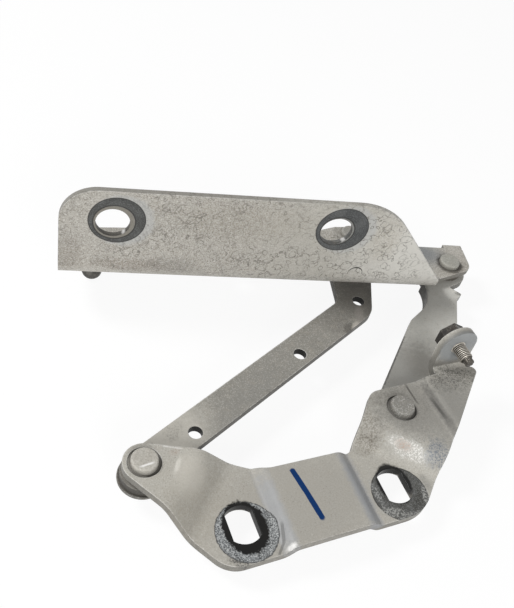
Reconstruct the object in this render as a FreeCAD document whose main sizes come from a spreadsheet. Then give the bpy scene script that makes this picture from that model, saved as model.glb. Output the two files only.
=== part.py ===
import FreeCAD, Part
import math
import os
import re
import Sketcher

# Four-bar bonnet hinge: a body bracket bolted to the car, two links and a bonnet bracket.
# Millimetres. The origin is the centre of the front slot, on the face that meets the car body.
# +X runs along the two slots, +Y towards the links and +Z out of the car body, along the pivots.
DIMENSIONS = [
    ("body_sheet", 3.5, "sheet of the body bracket"),
    ("bonnet_sheet", 2.5, "sheet of the bonnet bracket"),
    ("link_sheet", 3.5, "plate of both links"),
    ("pivot_rise", 9.5, "underside of the pivot ears above the mounting face"),
    ("panel_rise", 3.5, "middle panel above the mounting face"),
    ("arm_rise", 2.5, "stud arm above the pivot ears"),
    ("front_fold_radius", 8.0, "inside radius of the front ear's folds"),
    ("rear_fold_radius", 4.9, "inside radius of the rear ear's folds"),
    ("jog_radius", 2.0, "inside radius of the short jogs"),
    ("jog_run", 7.0, "length of a short jog"),
    ("slot_spacing", 67.0, "centre distance of the two body slots"),
    ("slot_length", 15.7, "slot, end to end, across the line of centres"),
    ("slot_width", 11.2, "slot between its flats"),
    ("pivot_line", 29.0, "both body pivots from the slot line"),
    ("long_pivot_lead", 31.0, "long link's body pivot ahead of the front slot"),
    ("short_pivot_lead", 16.0, "short link's body pivot behind the rear slot"),
    ("front_ear_flat", 12.0, "flat of the front ear before its fold"),
    ("rear_ear_flat", 9.5, "flat of the rear ear before its fold"),
    ("front_fold_foot", 31.0, "foot of the front fold from its pivot"),
    ("rear_fold_foot", 22.5, "foot of the rear fold from its pivot"),
    ("rear_fold_turn", 47.8, "degrees from the slot line to the rear fold's slope"),
    ("panel_front", 10.5, "front jog of the middle panel behind the front slot"),
    ("panel_rear", 47.0, "rear jog of the middle panel behind the front slot"),
    ("arm_start", 13.5, "jog of the stud arm behind the rear pivot"),
    ("ear_radius", 8.4, "round end of the front ear"),
    ("rim", 15.5, "outer edge of the front pad from the slot line"),
    ("rear_rim", 14.2, "outer edge of the rear pad from the slot line"),
    ("front_corner_radius", 12.0, "front corner of the outer edge"),
    ("front_corner_lead", 4.5, "centre of that corner ahead of the front slot"),
    ("rear_corner_radius", 20.0, "rear corner of the outer edge"),
    ("rear_corner_lead", 2.0, "centre of that corner ahead of the rear slot"),
    ("inner_edge", 18.5, "hollow edge of the middle panel from the slot line"),
    ("front_hollow_radius", 8.0, "front end of the hollow edge"),
    ("front_hollow_lead", 8.5, "centre of that end behind the panel's front jog"),
    ("slope_corner_radius", 11.5, "edge between that end and the front ear"),
    ("slope_corner_lead", 0.5, "centre of that edge behind the front slot"),
    ("slope_corner_side", 14.5, "centre of that edge from the slot line"),
    ("rear_hollow_radius", 6.0, "rear end of the hollow edge"),
    ("rear_hollow_lead", 5.5, "centre of that end behind the panel's rear jog"),
    ("back_edge", 12.5, "edge of the stud arm behind the pivot line"),
    ("ear_shoulder_radius", 8.0, "front corner of the rear ear"),
    ("ear_shoulder_lead", 6.0, "centre of that corner ahead of the rear pivot"),
    ("ear_shoulder_side", 3.0, "centre of that corner behind the pivot line"),
    ("arm_corner_radius", 2.5, "corner at the end of the stud arm"),
    ("arm_reach", 44.7, "end of the stud arm behind the rear pivot"),
    ("seat_radius", 6.6, "pressed seat round a rivet head"),
    ("seat_depth", 0.6, "depth of that seat"),
    ("tab_gap", 15.0, "near face of the stud tab behind the pivot line"),
    ("tab_fold_radius", 2.5, "inside radius at the foot of the stud tab"),
    ("tab_radius", 9.3, "round top of the stud tab"),
    ("tab_foot", 18.5, "foot of the stud tab"),
    ("stud_along", 32.3, "stud behind the rear pivot"),
    ("stud_height", 28.3, "stud above the mounting face"),
    ("stud_radius", 3.5, "stud in the tab and the nut"),
    ("thread_radius", 2.95, "thread in front of the tab"),
    ("stud_length", 7.6, "thread standing out of the tab"),
    ("dog_radius", 2.1, "dog point"),
    ("dog_length", 2.2, "dog point"),
    ("nut_flats", 12.0, "nut across its flats"),
    ("nut_height", 5.0, "nut"),
    ("nut_recess", 1.4, "end of the stud below the nut's outer face"),
    ("long_link_length", 177.4, "long link between pivots"),
    ("long_link_run", 144.0, "long link's straight run, from its body pivot to its bend"),
    ("long_link_left", 9.7, "inner edge of the straight run from the line of its body pivot"),
    ("long_link_right", 6.4, "outer edge of the straight run from that line"),
    ("long_link_kick", 10.7, "degrees from the straight run to the line of the pivots"),
    ("bend_outer_radius", 14.0, "outer edge of the long link's bend"),
    ("bend_outer_lead", 4.5, "centre of that edge before the end of the straight run"),
    ("bend_inner_radius", 8.0, "inner edge of the long link's bend"),
    ("bend_inner_lead", 11.0, "centre of that edge before the end of the straight run"),
    ("long_eye_radius", 9.0, "long link's eye at the body bracket"),
    ("long_neck_radius", 10.0, "hollow between that eye and the outer edge"),
    ("long_neck_lead", 18.0, "centre of that hollow from the body pivot"),
    ("open_eye_radius", 13.0, "long link's eye at the bonnet bracket"),
    ("gauge_hole_radius", 3.0, "gauge holes in the long link"),
    ("gauge_hole_first", 27.4, "first gauge hole along the straight run"),
    ("gauge_hole_second", 94.3, "second gauge hole along the straight run"),
    ("gauge_hole_side", 0.6, "both holes beside the middle of the run"),
    ("bend_hole_lead", 1.5, "third gauge hole beyond the end of the straight run"),
    ("bend_hole_side", 3.4, "third gauge hole beside the line of the run"),
    ("short_link_length", 109.6, "short link between pivots"),
    ("short_eye_radius", 10.5, "both eyes of the short link"),
    ("hollow_radius", 24.0, "hollow in the short link's front edge"),
    ("hollow_side", 27.8, "centre of the hollow in front of the short link's pivot line"),
    ("hollow_back", 31.1, "centre of the hollow before the bonnet pivot"),
    ("front_shoulder_radius", 9.5, "edge between the hollow and the bonnet pivot"),
    ("front_shoulder_run", 23.5, "centre of that edge from the hollow's centre"),
    ("front_shoulder_side", 3.5, "centre of that edge in front of the pivot line"),
    ("rear_shoulder_radius", 10.0, "edge between the hollow and the body pivot"),
    ("rear_shoulder_run", 18.7, "centre of that edge from the hollow's centre"),
    ("rear_shoulder_side", 1.8, "centre of that edge behind the pivot line"),
    ("belly_radius", 11.5, "swell of the short link's back edge"),
    ("belly_run", 6.5, "centre of that swell from the hollow's centre"),
    ("belly_side", 2.2, "centre of that swell behind the pivot line"),
    ("lug_root_radius", 4.3, "hollow in front of the stop lug"),
    ("lug_root_lead", 19.4, "centre of that hollow before the bonnet pivot"),
    ("lug_root_side", 14.8, "centre of that hollow behind the pivot line"),
    ("lug_tip_radius", 0.8, "corners of the stop lug"),
    ("lug_tip_lead", 13.9, "tip of the stop lug before the bonnet pivot"),
    ("lug_tip_side", 10.9, "tip of the stop lug behind the pivot line"),
    ("lug_inner_lead", 11.1, "foot of the stop lug before the bonnet pivot"),
    ("lug_inner_side", 6.0, "foot of the stop lug behind the pivot line"),
    ("lip_sheet", 2.2, "lip turned down along that hollow"),
    ("lip_depth", 3.4, "lip below the link"),
    ("rest_angle", 46.8, "short link to the slot line with the hinge open"),
    ("rivet_along", 52.3, "bonnet pivots apart, along the flange"),
    ("rivet_across", 16.0, "bonnet pivots apart, across the flange"),
    ("flange_offset", 23.5, "bonnet face of the flange from the short link's pivot"),
    ("flange_length", 202.0, "free end of the flange from the short link's pivot"),
    ("flange_height", 51.5, "top edge of the flange above the web, at its free end"),
    ("flange_rise", 0.8, "that edge higher by this at its upper corner"),
    ("flange_corner_radius", 16.5, "free upper corner of the flange"),
    ("shoulder_radius", 34.0, "upper corner above the slanting edge"),
    ("shoulder_lead", 71.5, "centre of that corner from the short link's pivot"),
    ("slant_foot", 9.4, "foot of the slanting edge from the short link's pivot"),
    ("tip_lead", 17.6, "pointed end of the flange from the short link's pivot"),
    ("tip_run", 5.6, "bevel between that end and the ear, along the flange"),
    ("tip_depth", 10.2, "the same bevel, across the flange"),
    ("bend_radius", 12.0, "inside radius between flange and web"),
    ("bolt_spacing", 100.0, "centre distance of the two bonnet bolt holes"),
    ("bolt_lead", 79.4, "rear bonnet bolt hole from the short link's pivot"),
    ("bolt_height", 36.9, "rear bonnet bolt hole above the web"),
    ("bolt_drop", 2.0, "front bonnet bolt hole below the rear one"),
    ("bolt_hole_radius", 7.4, "bonnet bolt holes"),
    ("web_depth", 37.5, "web at its free end, from the bonnet face"),
    ("web_flare", 9.5, "web deeper by this before its hollow"),
    ("web_flare_lead", 38.0, "centre of the flare's corner from the short link's pivot"),
    ("web_flare_radius", 5.0, "the flare's corner"),
    ("web_corner_radius", 12.0, "free corner of the web"),
    ("web_hollow_radius", 11.5, "hollow between the two bonnet pivots"),
    ("web_hollow_lead", 14.0, "centre of that hollow from the short link's pivot"),
    ("ear_reach", 12.3, "bonnet bracket's ear past the short link's pivot"),
    ("ear_depth", 12.5, "back edge of that ear behind the pivot"),
    ("ear_corner_radius", 7.6, "outer corner of that ear"),
    ("ear_corner_lead", 4.3, "centre of that corner past the pivot"),
    ("ear_corner_side", 1.0, "centre of that corner behind the pivot"),
    ("ear_nose_radius", 1.5, "inner corner of that ear"),
    ("stop_depth", 14.0, "stop tab below the top of the web"),
    ("stop_width", 10.7, "stop tab"),
    ("web_hole_radius", 4.0, "gauge hole in the web"),
    ("web_hole_lead", 125.0, "gauge hole from the short link's pivot"),
    ("pilot_hole_radius", 2.4, "two pilot holes beside the short link's pivot"),
    ("first_pilot_lead", 22.4, "first pilot hole from the pivot, along the flange"),
    ("first_pilot_side", 5.9, "first pilot hole from the pivot, towards the flange"),
    ("second_pilot_lead", 19.6, "second pilot hole from the pivot, along the flange"),
    ("second_pilot_side", 2.1, "second pilot hole from the pivot, away from the flange"),
    ("emboss_rise", 2.5, "raised seat of the long link's rivet"),
    ("emboss_seat", 9.6, "flat of that seat"),
    ("emboss_skirt", 16.5, "foot of that seat's cone"),
    ("ball_seat_rise", 1.5, "raised seat of the ball stud"),
    ("ball_seat", 8.8, "flat of that seat"),
    ("ball_skirt", 12.0, "foot of that seat's cone"),
    ("head_radius", 5.3, "formed rivet head"),
    ("head_height", 2.5, "formed rivet head above the sheet"),
    ("shank_radius", 4.0, "rivet shank"),
    ("slim_shank_radius", 3.5, "shank of the long link's bonnet rivet"),
    ("tail_radius", 5.6, "peened rivet tail"),
    ("tail_height", 2.2, "peened rivet tail"),
    ("washer_sheet", 1.2, "washer under each link"),
    ("washer_radius", 9.8, "washer under each link"),
    ("collar_radius", 7.6, "collar of each bush"),
    ("open_collar_radius", 11.5, "wide collar at the long link's bonnet rivet"),
    ("open_collar", 1.5, "thickness of that collar"),
    ("bush_wall", 1.5, "wall of each bush"),
    ("link_drop", 2.0, "top of the links below the pivot ears"),
    ("running_gap", 0.06, "bush over the shank, on radius"),
    ("side_gap", 0.3, "play along a pivot"),
    ("open_travel", 4.9, "free travel of the long link round its bonnet rivet"),
    ("ball_radius", 5.0, "ball of the gas strut's stud"),
    ("ball_drop", 13.7, "centre of the ball below the web"),
    ("ball_lead", 186.3, "ball stud from the short link's pivot"),
    ("ball_edge", 12.5, "ball stud from the web's back edge"),
    ("neck_radius", 3.2, "neck above the ball"),
    ("ball_collar_radius", 7.0, "collar and head of the ball stud"),
    ("ball_collar", 2.5, "thickness of that collar"),
    ("edge_round", 0.6, "rounded rims of turned pieces"),
]

doc = FreeCAD.newDocument("BonnetHinge")
sizes = doc.addObject("Spreadsheet::Sheet", "Sizes")
for row, (alias, number, note) in enumerate(DIMENSIONS, 1):
    sizes.set(f"A{row}", note)
    sizes.set(f"B{row}", str(number))
    sizes.setAlias(f"B{row}", alias)
doc.recompute()
ALIASES = {alias for alias, number, note in DIMENSIONS}
UP = FreeCAD.Vector(0, 0, 1)


def bound(text):
    """Write an expression of dimension names as one that reads the sheet."""
    return re.sub(r"[a-z_]+", lambda word: "Sizes." + word[0] if word[0] in ALIASES else word[0], text)


def value(text):
    """Read a dimension, or an expression of several, as a number."""
    return float(sizes.evalExpression(bound(text)))


def vector(x, y, z=0.0):
    return FreeCAD.Vector(x, y, z)


def polar(origin, distance, degrees):
    angle = math.radians(degrees)
    return (origin[0] + distance * math.cos(angle), origin[1] + distance * math.sin(angle))


# An outline is a ring of circles (x, y, radius), each joined to the next by a common tangent.
# It runs anticlockwise: a positive radius turns left, a negative one turns right, zero is a sharp corner.
def tangent(first, second):
    dx = second[0] - first[0]
    dy = second[1] - first[1]
    heading = math.atan2(dy, dx) - math.asin((second[2] - first[2]) / math.hypot(dx, dy))
    left = (-math.sin(heading), math.cos(heading))
    start = (first[0] - first[2] * left[0], first[1] - first[2] * left[1])
    end = (second[0] - second[2] * left[0], second[1] - second[2] * left[1])
    return heading, start, end


def draw_outline(sketch, corners):
    count = len(corners)
    runs = [tangent(corners[i - 1], corners[i]) for i in range(count)]
    for i, (x, y, radius) in enumerate(corners):
        heading, start, end = runs[i]
        sketch.addGeometry(Part.LineSegment(vector(*start), vector(*end)), False)
        if radius == 0:
            continue
        side = math.copysign(1, radius)
        turn = side * (runs[(i + 1) % count][0] - heading) % (2 * math.pi)
        first = heading - side * math.pi / 2
        low, high = sorted((first, first + side * turn))
        arc = Part.ArcOfCircle(Part.Circle(vector(x, y), UP, abs(radius)), low, high)
        sketch.addGeometry(arc, False)


def draw_box(sketch, x0, y0, x1, y1):
    draw_outline(sketch, [(x0, y0, 0), (x1, y0, 0), (x1, y1, 0), (x0, y1, 0)])


def draw_circle(sketch, x, y, radius):
    """Draw a circle whose centre and radius follow the sheet."""
    number = sketch.GeometryCount
    sketch.addGeometry(Part.Circle(vector(value(x), value(y)), UP, value(radius)), False)
    bindings = [
        (Sketcher.Constraint("DistanceX", -1, 1, number, 3, value(x)), f"across{number}", x),
        (Sketcher.Constraint("DistanceY", -1, 1, number, 3, value(y)), f"along{number}", y),
        (Sketcher.Constraint("Radius", number, value(radius)), f"ring{number}", radius),
    ]
    for constraint, name, text in bindings:
        place = sketch.addConstraint(constraint)
        sketch.renameConstraint(place, name)
        sketch.setExpression("Constraints." + name, bound(text))


def draw_slot(sketch, x, y, width, length):
    """Draw a round hole of the given length with two flats."""
    end = length / 2
    flat = width / 2
    rise = math.sqrt(end * end - flat * flat)
    corner = math.atan2(rise, flat)
    for side in (1, -1):
        sketch.addGeometry(Part.LineSegment(
            vector(x + side * flat, y - side * rise), vector(x + side * flat, y + side * rise)), False)
        start = corner if side > 0 else corner + math.pi
        sweep = math.pi - 2 * corner
        sketch.addGeometry(Part.ArcOfCircle(Part.Circle(vector(x, y), UP, end), start, start + sweep), False)


# A piece is a body that stands at a point of the plan, turned about the pivots' direction.
def new_body(label, at=(0.0, 0.0), turn=0.0):
    body = doc.addObject("PartDesign::Body", label)
    body.Label = label
    body.Placement = FreeCAD.Placement(vector(*at), FreeCAD.Rotation(UP, turn))
    return body


def new_sketch(body, plane, offset=None):
    sketch = body.newObject("Sketcher::SketchObject", body.Label + "_sketch")
    origin_plane = [item for item in body.Origin.OriginFeatures if item.Role == plane][0]
    sketch.AttachmentSupport = [(origin_plane, "")]
    sketch.MapMode = "FlatFace"
    if offset:
        sketch.setExpression("AttachmentOffset.Base.z", bound(offset))
    return sketch


def add_pad(body, sketch, length):
    pad = body.newObject("PartDesign::Pad", body.Label + "_pad")
    pad.Profile = sketch
    pad.setExpression("Length", bound(length))
    return pad


def cut_through(body, sketch):
    pocket = body.newObject("PartDesign::Pocket", body.Label + "_cut")
    pocket.Profile = sketch
    pocket.SideType = "Symmetric"
    pocket.Type = "ThroughAll"
    return pocket


def add_turned(body, corners):
    """Turn a half profile of (radius, height) corners about the body's own axis."""
    sketch = new_sketch(body, "XZ_Plane")
    draw_outline(sketch, corners)
    turned = body.newObject("PartDesign::Revolution", body.Label + "_turned")
    turned.Profile = sketch
    turned.ReferenceAxis = (sketch, ["V_Axis"])
    turned.Angle = 360
    return turned


def add_cone(body, kind, x, y, bottom, foot, top, rise):
    cone = body.newObject("PartDesign::" + kind, body.Label + "_cone")
    for name, text in (("Radius1", foot), ("Radius2", top), ("Height", rise)):
        cone.setExpression(name, bound(text))
    for name, text in (("x", x), ("y", y), ("z", bottom)):
        cone.setExpression("Placement.Base." + name, bound(text))
    return cone


def add_rod(label, radius, height, x, y, z):
    rod = doc.addObject("Part::Cylinder", label)
    rod.setExpression("Radius", bound(radius))
    rod.setExpression("Height", bound(height))
    for name, text in (("x", x), ("y", y), ("z", z)):
        rod.setExpression("Placement.Base." + name, bound(text))
    return rod


# Linkage, open: the bonnet pivots follow from the lengths of the links and the short link's angle.
long_pivot = (-value("long_pivot_lead"), value("pivot_line"))
short_pivot = (value("slot_spacing + short_pivot_lead"), value("pivot_line"))
rear_pivot = polar(short_pivot, value("short_link_length"), value("rest_angle"))
reach = math.dist(long_pivot, rear_pivot)
coupler = math.hypot(value("rivet_along"), value("rivet_across"))
long_link = value("long_link_length")
sight = math.degrees(math.atan2(rear_pivot[1] - long_pivot[1], rear_pivot[0] - long_pivot[0]))
opening = math.degrees(math.acos((reach**2 + long_link**2 - coupler**2) / (2 * reach * long_link)))
long_link_angle = sight + opening
front_pivot = polar(long_pivot, long_link, long_link_angle)
coupler_angle = math.degrees(math.atan2(rear_pivot[1] - front_pivot[1], rear_pivot[0] - front_pivot[0]))
bonnet_turn = coupler_angle + math.degrees(math.atan2(value("rivet_across"), value("rivet_along")))
FRONT_RIVET = ("-rivet_along", "rivet_across")
BALL_PLACE = ("-ball_lead", "web_depth - flange_offset - ball_edge")


def on_bonnet(x, y):
    """Carry a point of the bonnet bracket into the plan."""
    turned = FreeCAD.Rotation(UP, bonnet_turn).multVec(vector(value(x), value(y)))
    return (rear_pivot[0] + turned.x, rear_pivot[1] + turned.y)


# Heights: the tops of the pivot ears and of the web are level.
EAR_TOP = "pivot_rise + body_sheet"
WEB_UNDERSIDE = EAR_TOP + " - bonnet_sheet"
LINK_TOP = "pivot_rise - link_drop"
LINK_UNDERSIDE = LINK_TOP + " - link_sheet"


# Body bracket: one thick sheet in five folds, cut to one outline.
# The pads lie on the car body; the ears, the middle panel and the stud arm stand clear of it.
def step(start, low, end, high, radius, sheet):
    """Give the two bend circles of a step between levels as (place, height, turn)."""
    if high > low:
        return [(start, low + sheet + radius, 1), (end, high - radius, -1)]
    return [(start, low - radius, -1), (end, high + sheet + radius, 1)]


def sheet_profile(start, start_level, bends, end, end_level, radius, sheet):
    """Give the section of a folded sheet, from its underside and back along its top."""
    under = [(s, z, radius + sheet if turn > 0 else -radius) for s, z, turn in bends]
    over = [(s, z, -radius if turn > 0 else radius + sheet) for s, z, turn in reversed(bends)]
    return [
        (start, start_level, 0), *under, (end, end_level, 0),
        (end, end_level + sheet, 0), *over, (start, start_level + sheet, 0),
    ]


def fold(label, at, turn, profile):
    body = new_body(label, at, turn)
    sketch = new_sketch(body, "XZ_Plane")
    draw_outline(sketch, profile)
    pad = add_pad(body, sketch, "4 * slot_spacing")
    pad.SideType = "Symmetric"
    return body


body_sheet = value("body_sheet")
ear_level = value("pivot_rise")
arm_level = value("pivot_rise + arm_rise")
jog_radius = value("jog_radius")
jog_run = value("jog_run")
panel_front = value("panel_front")
panel_rear = value("panel_rear")
panel_rise = value("panel_rise")
arm_start = short_pivot[0] + value("arm_start")
arm_end = short_pivot[0] + value("arm_reach")
far_reach = value("slot_spacing")
front_turn = math.degrees(math.atan2(-long_pivot[1], -long_pivot[0]))


def ear_fold(end, pivot, turn):
    """Fold an ear down to its pad, along a line away from the pivot."""
    radius = value(end + "_fold_radius")
    bends = step(value(end + "_ear_flat"), ear_level, value(end + "_fold_foot"), 0.0, radius, body_sheet)
    profile = sheet_profile(-far_reach, ear_level, bends, far_reach, 0.0, radius, body_sheet)
    return fold(end + "_fold", pivot, turn, profile)


rear_turn = 180 + value("rear_fold_turn")
front_fold = ear_fold("front", long_pivot, front_turn)
rear_fold = ear_fold("rear", short_pivot, rear_turn)
panel_bends = (
    step(panel_front, 0.0, panel_front + jog_run, panel_rise, jog_radius, body_sheet)
    + step(panel_rear, panel_rise, panel_rear + jog_run, 0.0, jog_radius, body_sheet)
)
panel_fold = fold("panel_fold", (0.0, 0.0), 0.0, sheet_profile(
    -far_reach, 0.0, panel_bends, 2 * far_reach, 0.0, jog_radius, body_sheet))
arm_bends = step(arm_start, ear_level, arm_start + jog_run, arm_level, jog_radius, body_sheet)
arm_fold = fold("arm_fold", (0.0, 0.0), 0.0, sheet_profile(
    0.0, ear_level, arm_bends, arm_end + far_reach, arm_level, jog_radius, body_sheet))

rim = value("rim")
rear_rim = value("rear_rim")
front_corner = value("front_corner_radius")
rear_corner = value("rear_corner_radius")
inner_edge = value("inner_edge")
front_hollow = value("front_hollow_radius")
rear_hollow = value("rear_hollow_radius")
back_edge = long_pivot[1] + value("back_edge")
ear_shoulder = value("ear_shoulder_radius")
arm_corner = value("arm_corner_radius")
slot_spacing = value("slot_spacing")
blank = new_body("body_blank")
blank_sketch = new_sketch(blank, "XY_Plane", "-pivot_rise")
draw_outline(blank_sketch, [
    (*long_pivot, value("ear_radius")),
    (-value("front_corner_lead"), front_corner - rim, front_corner),
    (slot_spacing - value("rear_corner_lead"), rear_corner - rear_rim, rear_corner),
    (arm_end - arm_corner, back_edge - arm_corner, arm_corner),
    (short_pivot[0] - value("ear_shoulder_lead"), short_pivot[1] + value("ear_shoulder_side"), ear_shoulder),
    (panel_rear + value("rear_hollow_lead"), inner_edge + rear_hollow, -rear_hollow),
    (panel_front + value("front_hollow_lead"), inner_edge + front_hollow, -front_hollow),
    (value("slope_corner_lead"), value("slope_corner_side"), value("slope_corner_radius")),
])
for slot_x in (0.0, slot_spacing):
    draw_slot(blank_sketch, slot_x, 0.0, value("slot_width"), value("slot_length"))
draw_circle(blank_sketch, "-long_pivot_lead", "pivot_line", "shank_radius")
draw_circle(blank_sketch, "slot_spacing + short_pivot_lead", "pivot_line", "shank_radius")
add_pad(blank, blank_sketch, "2 * slot_spacing")


def stretch(label, folded, start, end):
    """Keep one stretch of a folded sheet, cut to the outline of the blank."""
    box = doc.addObject("Part::Box", label + "_box")
    box.Length = end - start
    box.Width = 4 * far_reach
    box.Height = 2 * far_reach
    box.Placement.Base = vector(start, -2 * far_reach, -far_reach)
    kept = doc.addObject("Part::MultiCommon", label)
    kept.Shapes = [folded, blank, box]
    return kept


front_seam = panel_front - jog_radius
rear_seam = panel_rear + jog_run + jog_radius
arm_seam = arm_start - jog_radius
stretches = [
    stretch("front_stretch", front_fold, -2 * far_reach, front_seam),
    stretch("panel_stretch", panel_fold, front_seam, rear_seam),
    stretch("rear_stretch", rear_fold, rear_seam, arm_seam),
    stretch("arm_stretch", arm_fold, arm_seam, arm_end + far_reach),
]

# Stud tab: the end of the arm turned up, with a round top.
tab_near = long_pivot[1] + value("tab_gap")
tab_far = tab_near + body_sheet
tab_bend = value("tab_fold_radius")
tab_bend_y = tab_near - tab_bend
tab_bend_z = arm_level + body_sheet + tab_bend
stud_x = short_pivot[0] + value("stud_along")
stud_z = value("stud_height")
tab_end = stud_z + value("tab_radius") + body_sheet
tab_root = tab_bend_y - 2 * tab_bend
tab = new_body("stud_tab")
tab_sketch = new_sketch(tab, "YZ_Plane", "slot_spacing")
draw_outline(tab_sketch, [
    (tab_root, arm_level, 0),
    (tab_bend_y, tab_bend_z, tab_bend + body_sheet),
    (tab_far, tab_end, 0),
    (tab_near, tab_end, 0),
    (tab_bend_y, tab_bend_z, -tab_bend),
    (tab_root, arm_level + body_sheet, 0),
])
add_pad(tab, tab_sketch, "2 * slot_spacing")
tab_cut = new_sketch(tab, "XZ_Plane")
draw_box(tab_cut, 0.0, -far_reach, 4 * far_reach, 2 * far_reach)
tab_right = arm_end - arm_corner
tab_left = tab_right - value("tab_foot")
draw_outline(tab_cut, [
    (tab_left, 0.0, 0),
    (tab_right, 0.0, 0),
    (tab_right, arm_level, 0),
    (stud_x, stud_z, value("tab_radius")),
    (tab_left, arm_level + body_sheet, 0),
])
cut_through(tab, tab_cut)

bracket_sheet = doc.addObject("Part::MultiFuse", "bracket_sheet")
bracket_sheet.Shapes = stretches + [tab]
bracket_sheet.Refine = True
SEAT_FLOOR = EAR_TOP + " - seat_depth"
stud_hole = add_rod("stud_hole", "stud_radius", "4 * body_sheet",
                    "slot_spacing + short_pivot_lead + stud_along", "pivot_line + tab_gap - body_sheet",
                    "stud_height")
stud_hole.Placement.Rotation = FreeCAD.Rotation(vector(1, 0, 0), -90)
bracket_cuts = doc.addObject("Part::MultiFuse", "bracket_cuts")
bracket_cuts.Shapes = [
    add_rod("front_seat", "seat_radius", "seat_depth + 1", "-long_pivot_lead", "pivot_line", SEAT_FLOOR),
    add_rod("rear_seat", "seat_radius", "seat_depth + 1", "slot_spacing + short_pivot_lead", "pivot_line",
            SEAT_FLOOR),
    stud_hole,
]
body_bracket = doc.addObject("Part::Cut", "body_bracket")
body_bracket.Base = bracket_sheet
body_bracket.Tool = bracket_cuts


# Stud and nut: the stud is screwed through the nut from behind and ends in a dog point.
def lay_along_stud(body, y):
    body.Placement = FreeCAD.Placement(vector(stud_x, y, stud_z), FreeCAD.Rotation(vector(1, 0, 0), 90))


stud_radius = value("stud_radius")
thread_radius = value("thread_radius")
stud_length = value("stud_length")
dog_radius = value("dog_radius")
stud_back = -value("body_sheet + nut_height - nut_recess")
edge = value("edge_round")
guide_stud = new_body("guide_stud")
add_turned(guide_stud, [
    (0, stud_back, 0),
    (stud_radius - edge, stud_back + edge, edge),
    (stud_radius, 0, 0),
    (thread_radius, 0, 0),
    (thread_radius, stud_length - (thread_radius - dog_radius), 0),
    (dog_radius, stud_length, 0),
    (dog_radius, stud_length + value("dog_length"), 0),
    (0, stud_length + value("dog_length"), 0),
])
lay_along_stud(guide_stud, tab_near)

nut_flats = value("nut_flats")
guide_nut = new_body("guide_nut")
nut_sketch = new_sketch(guide_nut, "XY_Plane")
draw_outline(nut_sketch, [(*polar((0, 0), nut_flats / math.sqrt(3), 60 * i + 30), 0) for i in range(6)])
draw_circle(nut_sketch, "0", "0", "stud_radius")
add_pad(guide_nut, nut_sketch, "nut_height")
lay_along_stud(guide_nut, tab_far + value("nut_height"))

# Bonnet bracket: an angle pressed from one sheet, drawn about the short link's pivot.
# The flange carries the two bonnet bolts; the web carries both links and the ball stud.
bonnet_sheet = value("bonnet_sheet")
web_under = value(WEB_UNDERSIDE)
web_top = web_under + bonnet_sheet
face = -value("flange_offset")
bend = value("bend_radius")
bend_y = face + bend + bonnet_sheet
bend_z = web_top + bend
flange_top = web_top + value("flange_height")
shoulder_top = flange_top + value("flange_rise")
blank_top = shoulder_top + bonnet_sheet
free_end = -value("flange_length")
ear_reach = value("ear_reach")
ear_depth = value("ear_depth")
web_back = face + value("web_depth")
web_back_flared = web_back + value("web_flare")
web_room = web_back_flared + value("web_corner_radius")

bonnet_bracket = new_body("bonnet_bracket", rear_pivot, bonnet_turn)
angle_sketch = new_sketch(bonnet_bracket, "YZ_Plane", "-flange_length")
draw_outline(angle_sketch, [
    (face, blank_top, 0),
    (bend_y, bend_z, bend + bonnet_sheet),
    (web_room, web_under, 0),
    (web_room, web_top, 0),
    (bend_y, bend_z, -bend),
    (face + bonnet_sheet, blank_top, 0),
])
add_pad(bonnet_bracket, angle_sketch, "flange_length + ear_reach")
for place, rise, seat, skirt in (
    (FRONT_RIVET, "emboss_rise", "emboss_seat", "emboss_skirt"),
    (BALL_PLACE, "ball_seat_rise", "ball_seat", "ball_skirt"),
):
    thinner = " - 0.18 * bonnet_sheet"
    add_cone(bonnet_bracket, "AdditiveCone", *place, EAR_TOP, skirt, seat, rise)
    add_cone(bonnet_bracket, "SubtractiveCone", *place, WEB_UNDERSIDE, skirt + thinner, seat + thinner, rise)

side_sketch = new_sketch(bonnet_bracket, "XZ_Plane")
room = value("flange_length") / 2
draw_box(side_sketch, free_end - room, -room, ear_reach + room, flange_top + room)
flange_corner = value("flange_corner_radius")
shoulder = value("shoulder_radius")
tip = -value("tip_lead")
draw_outline(side_sketch, [
    (free_end, web_under - bonnet_sheet, 0),
    (ear_reach + bonnet_sheet, web_under - bonnet_sheet, 0),
    (ear_reach + bonnet_sheet, web_top, 0),
    (-value("slant_foot"), web_top, 0),
    (-value("shoulder_lead"), shoulder_top - shoulder, shoulder),
    (free_end + flange_corner, flange_top - flange_corner, flange_corner),
])
cut_through(bonnet_bracket, side_sketch)

web_sketch = new_sketch(bonnet_bracket, "XY_Plane")
draw_box(web_sketch, free_end - room, face - room, ear_reach + room, web_room + room)
web_corner = value("web_corner_radius")
ear_nose = value("ear_nose_radius")
web_hollow = value("web_hollow_radius")
web_flare = value("web_flare_radius")
draw_outline(web_sketch, [
    (free_end, face, 0),
    (tip, face, 0),
    (tip + value("tip_run"), face + value("tip_depth"), 0),
    (value("ear_corner_lead"), value("ear_corner_side"), value("ear_corner_radius")),
    (ear_reach - ear_nose, ear_depth - ear_nose, ear_nose),
    (-value("web_hollow_lead"), ear_depth + web_hollow, -web_hollow),
    (-value("web_flare_lead"), web_back_flared - web_flare, web_flare),
    (free_end + web_corner, web_back - web_corner, web_corner),
])
cut_through(bonnet_bracket, web_sketch)

bolt_sketch = new_sketch(bonnet_bracket, "XZ_Plane")
for bolt_x, bolt_z in (
    ("-bolt_lead", "bolt_height"),
    ("-bolt_lead - bolt_spacing", "bolt_height - bolt_drop"),
):
    draw_circle(bolt_sketch, bolt_x, EAR_TOP + " + " + bolt_z, "bolt_hole_radius")
cut_through(bonnet_bracket, bolt_sketch)

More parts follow.
